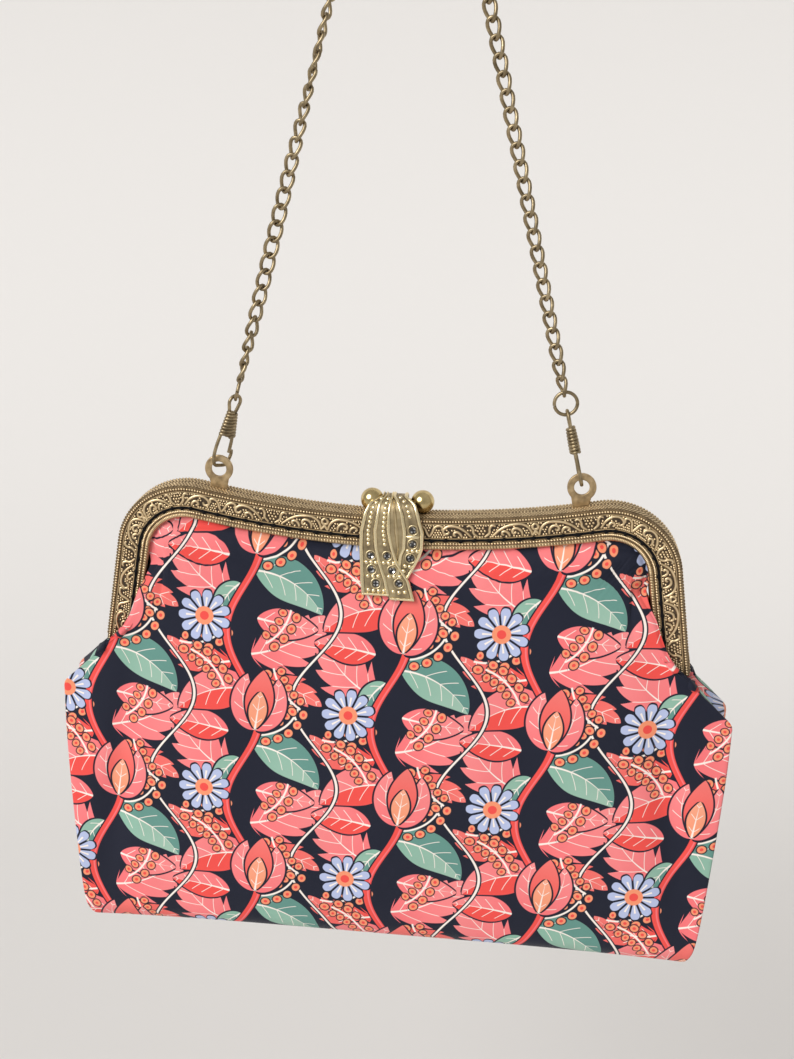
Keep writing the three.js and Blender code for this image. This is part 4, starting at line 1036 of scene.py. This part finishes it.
# Rows that come out from under the lip: further in, further forward
LIP_ROWS = [(0.0, 0.0), (3.2, 0.1), (4.8, 1.9), (8.0, 3.6)]
LIP_FADE = 0.15
OVER_LEG = (0.71, 0.83)
SEAM_TOP_X, SEAM_TOP_BELOW = 104.6, 4.6
SIDE_DROP = 3.0
FACE_ROUNDNESS = 2.4
# Rows down the pouch: height in the middle and at the side, half width, depth at the edge, seam, belly
CLOTH_ROWS = [
    (-33, -62.5, 107.5, 8.8, 106.5, 9.6), (-46, -68, 113.5, 8.4, 111.5, 11.8),
    (-62, -75, 119.2, 8.0, 115.5, 14.2), (-82, -88, 119, 9, 112, 16.8),
    (-106, -109, 117.8, 11.5, 109.5, 18.8), (-130, -132, 116.2, 13.5, 108.5, 19.8),
    (-149, -151, 114.6, 15, 109, 19.8), (-159, -161.2, 113.2, 15.5, 109.6, 18.8),
    (-164.2, -167.2, 111, 13.5, 109, 16), (-166.6, -170, 108.8, 9, 107.8, 11),
    (-167.4, -171.1, 107.2, 4, 106.8, 5), (-167.6, -171.5, 106, SEAM_GAP, 106, SEAM_GAP),
]
FLAT_TO_ROW = len(LIP_ROWS) + 7  # the row where the front turns under
# Soft folds: from x, z to x, z, how wide, how deep
FOLDS = [
    (92, -60, 106, -150, 6, 2.0), (-92, -60, -105, -150, 6, 2.0), (40, -40, 52, -120, 11, 1.3),
    (-36, -40, -46, -120, 11, 1.3),
]
FOLD_FROM, FOLD_RUN = 0.08, 0.84  # stretch of a half wave that a fold's depth follows
PUCKER, PUCKER_REACH = 0.4, 8.0
GRID_PITCH, LEAST_STEPS = 2.2, 4


def column_points(share, tuck, depth, side):
    """One column of the panel from the tucked edge to the bottom seam: x, y forwards, z."""
    over = min(max((share - OVER_LEG[0]) / (OVER_LEG[1] - OVER_LEG[0]), 0), 1)
    left = 1 + (LIP_FADE - 1) * over * over * (3 - 2 * over)
    points = []
    for inwards, forward in LIP_ROWS:
        x, z, angle = frame_point(side * share * (LINE["length"] + BELOW_LEG), tuck + inwards * left)
        points.append((x, depth + forward * left, z))
    out = min(share / CORNER_SHARE, 1)
    for middle, low, wide, edge, seam, belly in CLOTH_ROWS:
        at_seam = share == 1
        x = seam if at_seam else wide * out
        y = SEAM_GAP if at_seam else edge + (belly - edge) * (1 - out ** FACE_ROUNDNESS)
        points.append((side * x, y, middle + (low - middle) * out ** SIDE_DROP))
    if share == 1:
        points[len(LIP_ROWS) - 1] = (side * SEAM_TOP_X, SEAM_GAP, LEG_END - SEAM_TOP_BELOW)
    return points


def smooth_through(knots, rows, places):
    """Values between rows of knots on a smooth line that doesn't overshoot them."""
    gap = np.diff(knots).reshape(-1, *[1] * (rows.ndim - 1))
    slope = np.diff(rows, axis=0) / gap
    before, after = slope[:-1], slope[1:]
    same = before * after > 0
    tangent = np.zeros_like(rows)
    tangent[1:-1] = np.where(same, 2 * before * after / np.where(same, before + after, 1), 0)
    tangent[0], tangent[-1] = slope[0], slope[-1]
    cell = np.clip(np.searchsorted(knots, places, side="right") - 1, 0, len(knots) - 2)
    wide = gap[cell]
    t = (places - knots[cell]).reshape(wide.shape) / wide
    return eased(rows[cell], rows[cell + 1], tangent[cell] * wide, tangent[cell + 1] * wide, t)


def stepped(knots):
    """Places from the first knot to the last, about a pitch apart, with a few between any two knots."""
    places = [knots[0]]
    for a, b in zip(knots, knots[1:]):
        steps = max(LEAST_STEPS, round((b - a) / GRID_PITCH))
        places += list(np.linspace(a, b, steps + 1)[1:])
    return np.array(places)


def fold_depth(x, z):
    """How far the folds press the cloth in at a place."""
    depth = np.zeros_like(x)
    for x0, z0, x1, z1, wide, deep in FOLDS:
        run = np.array([x1 - x0, z1 - z0], dtype=float)
        along = np.clip(((x - x0) * run[0] + (z - z0) * run[1]) / (run @ run), 0, 1)
        away = np.hypot(x - x0 - along * run[0], z - z0 - along * run[1])
        depth += deep * np.exp(-((away / wide) ** 2)) * np.sin(np.pi * (FOLD_FROM + FOLD_RUN * along))
    return depth


left_net = [column_points(*column, -1) for column in CLOTH_COLUMNS[:0:-1]]
net = np.array(left_net + [column_points(*column, 1) for column in CLOTH_COLUMNS])
right_shares = np.array(CLOTH_COLUMNS)[:, 0]
shares = np.concatenate([-right_shares[:0:-1], right_shares])
half_way = LINE["length"] + BELOW_LEG
fine_shares = stepped(shares * half_way) / half_way
fine = smooth_through(shares, net, fine_shares)
row_steps = np.linalg.norm(np.diff(net, axis=1), axis=2).mean(axis=0)
row_knots = np.concatenate([[0], np.cumsum(row_steps)])
row_places = stepped(row_knots)
grid = np.moveaxis(smooth_through(row_knots, np.moveaxis(fine, 1, 0), row_places), 0, 1)
grid[:, :, 1] -= fold_depth(grid[:, :, 0], grid[:, :, 2]) * (np.abs(fine_shares) < 1)[:, None]
below_lip = np.abs(row_places - row_knots[len(LIP_ROWS) - 1])
lip_share = np.exp(-((below_lip / PUCKER_REACH) ** 2)) * (np.abs(fine_shares) < OVER_LEG[0])[:, None]
grid[:, :, 1] += PUCKER * lip_share * np.cos(2 * np.pi * fine_shares * half_way / STITCH)[:, None]
grid[:, :, 1] = np.maximum(grid[:, :, 1], SEAM_GAP)

# Where each point lay when the cloth was flat, so that the print runs on round the side and the bottom
flat = grid[:, :, [0, 2]].copy()
for side in (-1, 1):
    edge = int(np.argmin(np.abs(fine_shares - side * CORNER_SHARE)))
    last = 0 if side < 0 else len(fine_shares) - 1
    for column in range(edge + side, last + side, side):
        step = np.linalg.norm(grid[column] - grid[column - side], axis=1)
        flat[column, :, 0] = flat[column - side, :, 0] + side * step
bottom_row = int(np.argmin(np.abs(row_places - row_knots[FLAT_TO_ROW])))
for row in range(bottom_row + 1, len(row_places)):
    step = np.linalg.norm(grid[:, row] - grid[:, row - 1], axis=1)
    flat[:, row, 1] = flat[:, row - 1, 1] - step

columns, rows = len(fine_shares), len(row_places)
bpy.ops.object.select_all(action="DESELECT")
bpy.ops.mesh.primitive_grid_add(x_subdivisions=columns - 1, y_subdivisions=rows - 1, size=MM)
panel_front = bpy.context.object
panel_front.name = "panel_front_cloth"
ordered = np.moveaxis(grid, 0, 1)[::-1].reshape(-1, 3)
places = np.column_stack([ordered[:, 0], -ordered[:, 1], ordered[:, 2] - HANG]) * MM
panel_front.data.vertices.foreach_set("co", places.astype(np.float32).ravel())
flat_place = panel_front.data.attributes.new("flat", "FLOAT_VECTOR", "POINT")
flat_order = np.moveaxis(flat, 0, 1)[::-1].reshape(-1, 2)
flat_vectors = np.column_stack([flat_order, np.zeros(len(flat_order))])
flat_place.data.foreach_set("vector", flat_vectors.astype(np.float32).ravel())
thickness = panel_front.modifiers.new("thickness", "SOLIDIFY")
thickness.thickness = CLOTH * MM
thickness.offset = -1
bpy.ops.object.modifier_apply(modifier=thickness.name)
panel_front.data.shade_smooth()

# The print: a trailing flower pattern in a half drop, drawn in flat colours with dark lines round each shape
NAVY, CORAL, RED, SAGE = (30, 33, 48), (246, 116, 120), (240, 82, 76), (136, 180, 160)
DEEP_SAGE, PEACH, BLUE, CREAM = (100, 146, 136), (246, 150, 112), (182, 192, 226), (250, 238, 228)
INK_GAMMA = 2.2
REPEAT_WIDE, REPEAT_HIGH = 52.0, 64.0
KEYLINE = 0.7  # width of the dark line round a shape
CRISP = 5.0  # how fast one colour gives way to the next, per millimetre
printed_cotton, cotton_tree, cotton_shader = new_material("printed_cotton")


class Field:
    """A number that changes from place to place on the cloth, worked out by the material's nodes."""

    def __init__(self, socket):
        self.socket = socket

    def do(self, operation, *others, clamp=False):
        values = {i: v.socket if isinstance(v, Field) else v for i, v in enumerate((self, *others))}
        made = node(cotton_tree, "ShaderNodeMath", values, operation=operation, use_clamp=clamp)
        return Field(made.outputs[0])

    def __add__(self, other):
        return self.do("ADD", other)

    def __sub__(self, other):
        return self.do("SUBTRACT", other)

    def __mul__(self, other):
        return self.do("MULTIPLY", other)

    def __pow__(self, other):
        return self.do("POWER", other)


flat_socket = node(cotton_tree, "ShaderNodeAttribute", attribute_name="flat").outputs["Vector"]
flat_parts = node(cotton_tree, "ShaderNodeSeparateXYZ", {"Vector": flat_socket})
FLAT_X, FLAT_Z = Field(flat_parts.outputs["X"]), Field(flat_parts.outputs["Y"])


def about(centre, root, heading):
    """Distances along and across a motif from its root, the same in every repeat."""
    wide = FLAT_X - centre.real
    column = (wide * (1 / REPEAT_WIDE) + 0.5).do("FLOOR")
    high = FLAT_Z - centre.imag - column * (REPEAT_HIGH / 2)
    high = high - (high * (1 / REPEAT_HIGH) + 0.5).do("FLOOR") * REPEAT_HIGH
    wide = wide - column * REPEAT_WIDE + (centre - root).real
    high = high + (centre - root).imag
    cos, sin = math.cos(math.radians(heading)), math.sin(math.radians(heading))
    return wide * cos + high * sin, high * cos - wide * sin


def bent_about(root, heading, length, bend):
    """The share of the way along a bent motif, and the distance across it."""
    turn = math.radians(bend)
    swing = math.radians(heading) + turn / 2
    centre = root + length / 2 * complex(math.cos(swing), math.sin(swing))
    along, across = about(centre, root, heading)
    if not bend:
        return along * (1 / length), across
    reach = length / turn
    rest = across * -1 + reach
    if bend < 0:
        rest = rest * -1
    radius = (along * along + rest * rest).do("SQRT")
    share = along.do("ARCTAN2", rest) * (1 / abs(turn))
    return share, radius * (-1 if bend > 0 else 1) + reach


def linear(ink):
    """An ink's colour as the shader takes it."""
    return [(c / 255) ** INK_GAMMA for c in ink] + [1]


def paint(below, mask, ink):
    """A colour laid over the one below, where the mask says."""
    inputs = {"Factor": mask.socket, 6: below, 7: linear(ink)}
    return node(cotton_tree, "ShaderNodeMix", inputs, data_type="RGBA").outputs[2]


def inside(distance):
    """A mask that is full where a distance is above nought."""
    return distance.do("MULTIPLY", CRISP, clamp=True)


def line(below, across, half, ink):
    """A line of even width, by the distance across it."""
    return paint(below, inside(across.do("ABSOLUTE") * -1 + half), ink)


def wavy(root, sway):
    """The distance across a line that sways its way up the cloth."""
    across, rise = about(root, root, 0)
    return (rise * (2 * math.pi / REPEAT_HIGH)).do("SINE") * sway + across


LEAF_FULL, PALE_TIP, LINE_GROWTH = 0.8, 0.14, 1.5
LOBE_DEEP, LOBE_FOOT, LOBE_SLANT = 0.42, 0.68, 1.6
RIB_HALF, RIB_TAPER = 0.5, 0.45
VEIN_HALF, VEIN_REACH = 0.26, 0.72


def leaf(below, root, heading, length, width, bend, light, dark, lobes=0, veins=5, point=0.8):
    """A leaf or petal with a dark line round it, two tones and pale veins."""
    share, across = bent_about(root, heading, length, bend)
    share = share.do("ADD", 0.0, clamp=True)
    away = across.do("ABSOLUTE")
    half = ((share ** point) * math.pi).do("SINE").do("MAXIMUM", 0.0) ** LEAF_FULL * (width / 2)
    if lobes:
        lobe = (share * lobes - away * (LOBE_SLANT / width)).do("FRACT")
        half = half * (lobe * LOBE_DEEP + LOBE_FOOT)
    rest = half - away
    below = paint(below, inside((half * LINE_GROWTH).do("MINIMUM", KEYLINE) + rest), NAVY)
    below = paint(below, inside(rest), light)
    below = paint(below, inside(rest) * share * PALE_TIP, CREAM)
    if dark != light:
        below = paint(below, inside(rest.do("MINIMUM", across)), dark)
    if veins:
        rib = (share * -RIB_TAPER + RIB_HALF) - away
        slant = ((share * length - away) * (veins / length)).do("FRACT") - 0.5
        vein = slant.do("ABSOLUTE") * (-length / veins) + VEIN_HALF
        vein = vein.do("MINIMUM", half * VEIN_REACH - away)
        below = paint(below, inside(rib.do("MAXIMUM", vein).do("MINIMUM", rest)), CREAM)
    return below


PETAL_ROUND, PETAL_GAP = 0.36, 0.3
RAY_HALF, RAY_REACH = 0.2, 0.72
DAISY_HEART, DAISY_EYE = 0.36, 0.18


def daisy(below, centre, radius, petals):
    """A flower head of pale petals with dark gaps and a warm heart."""
    along, across = about(centre, centre, 0)
    reach = (along * along + across * across).do("SQRT")
    turn = across.do("ARCTAN2", along) * (petals / (2 * math.pi))
    edge = (turn.do("FRACT") - 0.5).do("ABSOLUTE") * 2
    petal = (edge ** 3) * (-PETAL_ROUND * radius) + radius
    gap = (edge * -1 + 1) * reach * (math.pi / petals) - PETAL_GAP
    ray = (edge * -1 + RAY_HALF) * radius
    below = paint(below, inside(petal - reach + KEYLINE), NAVY)
    below = paint(below, inside((petal - reach).do("MINIMUM", gap)), BLUE)
    below = paint(below, inside(ray.do("MINIMUM", reach * -1 + RAY_REACH * radius)), CREAM)
    below = paint(below, inside(reach * -1 + DAISY_HEART * radius), PEACH)
    return paint(below, inside(reach * -1 + DAISY_EYE * radius), RED)


STALK_HALF, BERRY_OUT = 0.45, 2.5
BERRY, BERRY_LINE, SEED = 1.5, 0.4, 0.7


def sprig(below, root, heading, length, bend, berries):
    """A thin bent stalk with berries on both sides."""
    share, across = bent_about(root, heading, length, bend)
    step = ((share * berries).do("FRACT") - 0.5) * (length / berries)
    side = across.do("ABSOLUTE") - BERRY_OUT
    within = ((share - 0.5).do("ABSOLUTE") * -1 + 0.5) * length
    berry = (step * step + side * side).do("SQRT") * -1
    stalk = (across.do("ABSOLUTE") * -1 + STALK_HALF).do("MINIMUM", within)
    below = paint(below, inside(stalk), CREAM)
    below = paint(below, inside((berry + (BERRY + BERRY_LINE)).do("MINIMUM", within + BERRY_LINE)), NAVY)
    below = paint(below, inside((berry + BERRY).do("MINIMUM", within)), PEACH)
    return paint(below, inside((berry + SEED).do("MINIMUM", within)), RED)


# Petals of a bell flower from the lowest up: turn from its heading, length and width as shares of its
# size, bend, ink, veins, and how far out it is widest
BELL_PETALS = [
    (62, 0.55, 0.24, -40, SAGE, 0, 0.8), (-62, 0.55, 0.24, 40, SAGE, 0, 0.8),
    (46, 1.0, 0.42, -62, CORAL, 4, 0.8), (-46, 1.0, 0.42, 62, CORAL, 4, 0.8),
    (0, 1.02, 0.46, 0, RED, 0, 1.0), (0, 0.66, 0.3, 0, PEACH, 3, 1.0),
]


def bell(below, root, heading, size):
    """A nodding flower of curled outer petals, a middle one and its pale heart, on two small leaves."""
    for turn, long, wide, bend, ink, veins, point in BELL_PETALS:
        below = leaf(below, root, heading + turn, size * long, size * wide, bend, ink, ink, 0, veins, point)
    return below


# Leaves and sprigs from the lowest up: root, heading, length, width, bend, light, dark, lobes, veins;
# root, heading, length, bend, berries
LOW_LEAVES = [
    (4 + 26j, 24, 26, 13, -62, RED, RED, 4), (-4 - 27j, 196, 26, 13, -66, RED, RED, 4),
    (3 - 24j, 8, 31, 20, 46, CORAL, CORAL, 5), (-3 - 5j, 160, 30, 19, -50, CORAL, CORAL, 5),
    (5 - 11j, -12, 22, 11, 10, CORAL, CORAL), (-5 + 11j, 168, 22, 11, 10, CORAL, RED),
    (4 + 6j, -2, 29, 15, -58, SAGE, DEEP_SAGE), (3 + 27j, 172, 29, 15, 54, CORAL, RED),
]
HIGH_LEAVES = [
    (-1 + 1j, 212, 17, 8, 60, SAGE, DEEP_SAGE, 0, 4), (5 + 22j, 42, 16, 7.5, -60, CORAL, CORAL, 0, 4),
]
SPRIGS = [
    (-6 - 14j, 240, 20, -74, 5), (6 + 10j, 4, 20, 72, 5), (21 + 21j, 150, 18, -50, 5),
    (-19 - 24j, -20, 18, -50, 5), (8 - 20j, 30, 16, 50, 4),
]
VINE_AT, VINE_SWAY, VINE_LINES = 26 + 8j, 8.5, ((1.1, NAVY), (0.55, CREAM))
STEM_AT, STEM_SWAY, STEM_LINES = 0j, 6.0, ((0, 2.0, NAVY), (0, 1.4, RED), (0.5, 0.4, CORAL))
ground = node(cotton_tree, "ShaderNodeRGB")
ground.outputs[0].default_value = linear(NAVY)
colour = ground.outputs[0]
for each in LOW_LEAVES:
    colour = leaf(colour, *each)
vine = wavy(VINE_AT, VINE_SWAY)
for half, ink in VINE_LINES:
    colour = line(colour, vine, half, ink)
for each in HIGH_LEAVES:
    colour = leaf(colour, *each)
for each in SPRIGS:
    colour = sprig(colour, *each)
stem = wavy(STEM_AT, -STEM_SWAY)
for aside, half, ink in STEM_LINES:
    colour = line(colour, stem - aside, half, ink)
colour = daisy(colour, -14 - 11.5j, 9.4, 11)
colour = bell(colour, 4.5 + 12j, 82, 22)

FADE_SCALE, FADE_DETAIL, FADE_LOW, FADE_HIGH = 0.05, 5.0, 0.9, 1.08
WEAVE_PITCH, WEAVE_STRENGTH, WEAVE_DEEP = 0.42, 0.25, 0.00006
faded = cloud(cotton_tree, flat_socket, FADE_SCALE, FADE_DETAIL)
tone = stretched(cotton_tree, faded, FADE_LOW, FADE_HIGH)
toned = node(cotton_tree, "ShaderNodeVectorMath", {0: colour, "Scale": tone}, operation="SCALE")
warp = (FLAT_X * (2 * math.pi / WEAVE_PITCH)).do("SINE")
weft = (FLAT_Z * (2 * math.pi / WEAVE_PITCH)).do("SINE")
feed(cotton_tree, cotton_shader, {
    "Base Color": toned.outputs["Vector"],
    "Roughness": 0.78,
    "Sheen Weight": 0.12,
    "Sheen Roughness": 0.4,
    "Specular IOR Level": 0.3,
    "Normal": fine_relief(cotton_tree, (warp * weft).socket, WEAVE_STRENGTH, WEAVE_DEEP),
})
panel_front.data.materials.append(printed_cotton)
panel_back = copied(panel_front, "panel_back_cloth", HALF_ROUND)

for panel, half, cad_node in (
    (panel_front, frame_front, "panel_front"), (panel_back, frame_rear, "panel_back")
):
    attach(panel, "purse")
    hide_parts(cad_node)

# Floor and light: a plain pale floor well below the purse runs up in a wide curve to a pale wall behind it.
# One broad soft sun comes from the front, high on the left, and a pale surround fills the rest.
FLOOR_DROP = 0.3
WALL_AT, WALL_HIGH, COVE, COVE_STEPS = 1.5, 3.0, 1.0, 24
FLOOR_WIDE, FLOOR_FRONT = 4, 2
FLOOR_COLOUR = (0.72, 0.7, 0.68, 1)
SURROUND_COLOUR, SURROUND_STRENGTH = (0.96, 0.95, 0.93, 1), 0.46
SUN_FROM, SUN_STRENGTH, SUN_SPREAD = Vector((-0.6, -0.75, 0.65)), 2.45, math.radians(38)
floor_z = CAD_BOX[0].z - FLOOR_DROP
bpy.ops.object.select_all(action="DESELECT")
bpy.ops.mesh.primitive_plane_add(size=2 * WALL_AT, location=(0, 0, floor_z))
floor = bpy.context.object
floor.name = "floor"
bpy.ops.object.transform_apply(location=True, rotation=False, scale=False)
for vertex in floor.data.vertices:
    vertex.co.x *= FLOOR_WIDE
    vertex.co.y = WALL_AT if vertex.co.y > 0 else -FLOOR_FRONT * WALL_AT
bpy.ops.object.mode_set(mode="EDIT")
bpy.ops.mesh.select_mode(type="EDGE")
bpy.ops.mesh.select_all(action="DESELECT")
bpy.ops.object.mode_set(mode="OBJECT")
for edge in floor.data.edges:
    edge.select = all(floor.data.vertices[v].co.y > 0 for v in edge.vertices)
bpy.ops.object.mode_set(mode="EDIT")
bpy.ops.mesh.extrude_region_move(TRANSFORM_OT_translate={"value": (0, 0, WALL_HIGH)})
bpy.ops.object.mode_set(mode="OBJECT")
for edge in floor.data.edges:
    ends = [floor.data.vertices[v].co for v in edge.vertices]
    edge.select = all(abs(p.z - floor_z) < MM and p.y > 0 for p in ends)
bpy.ops.object.mode_set(mode="EDIT")
bpy.ops.mesh.bevel(offset=COVE, segments=COVE_STEPS, affect="EDGES")
bpy.ops.object.mode_set(mode="OBJECT")
floor.data.shade_smooth()
floor_paint, floor_tree, floor_shader = new_material("floor_paint")
feed(floor_tree, floor_shader, {"Base Color": FLOOR_COLOUR, "Roughness": 0.9, "Specular IOR Level": 0.1})
floor.data.materials.append(floor_paint)

surround = bpy.data.worlds.new("surround")
surround.use_nodes = True
backdrop = surround.node_tree.nodes["Background"]
feed(surround.node_tree, backdrop, {"Color": SURROUND_COLOUR, "Strength": SURROUND_STRENGTH})
bpy.context.scene.world = surround
bpy.context.scene.view_settings.view_transform = "Standard"

bpy.ops.object.light_add(type="SUN", rotation=SUN_FROM.to_track_quat("Z", "Y").to_euler())
sun = bpy.context.object
sun.name = "soft_sun"
sun.data.energy = SUN_STRENGTH
sun.data.angle = SUN_SPREAD
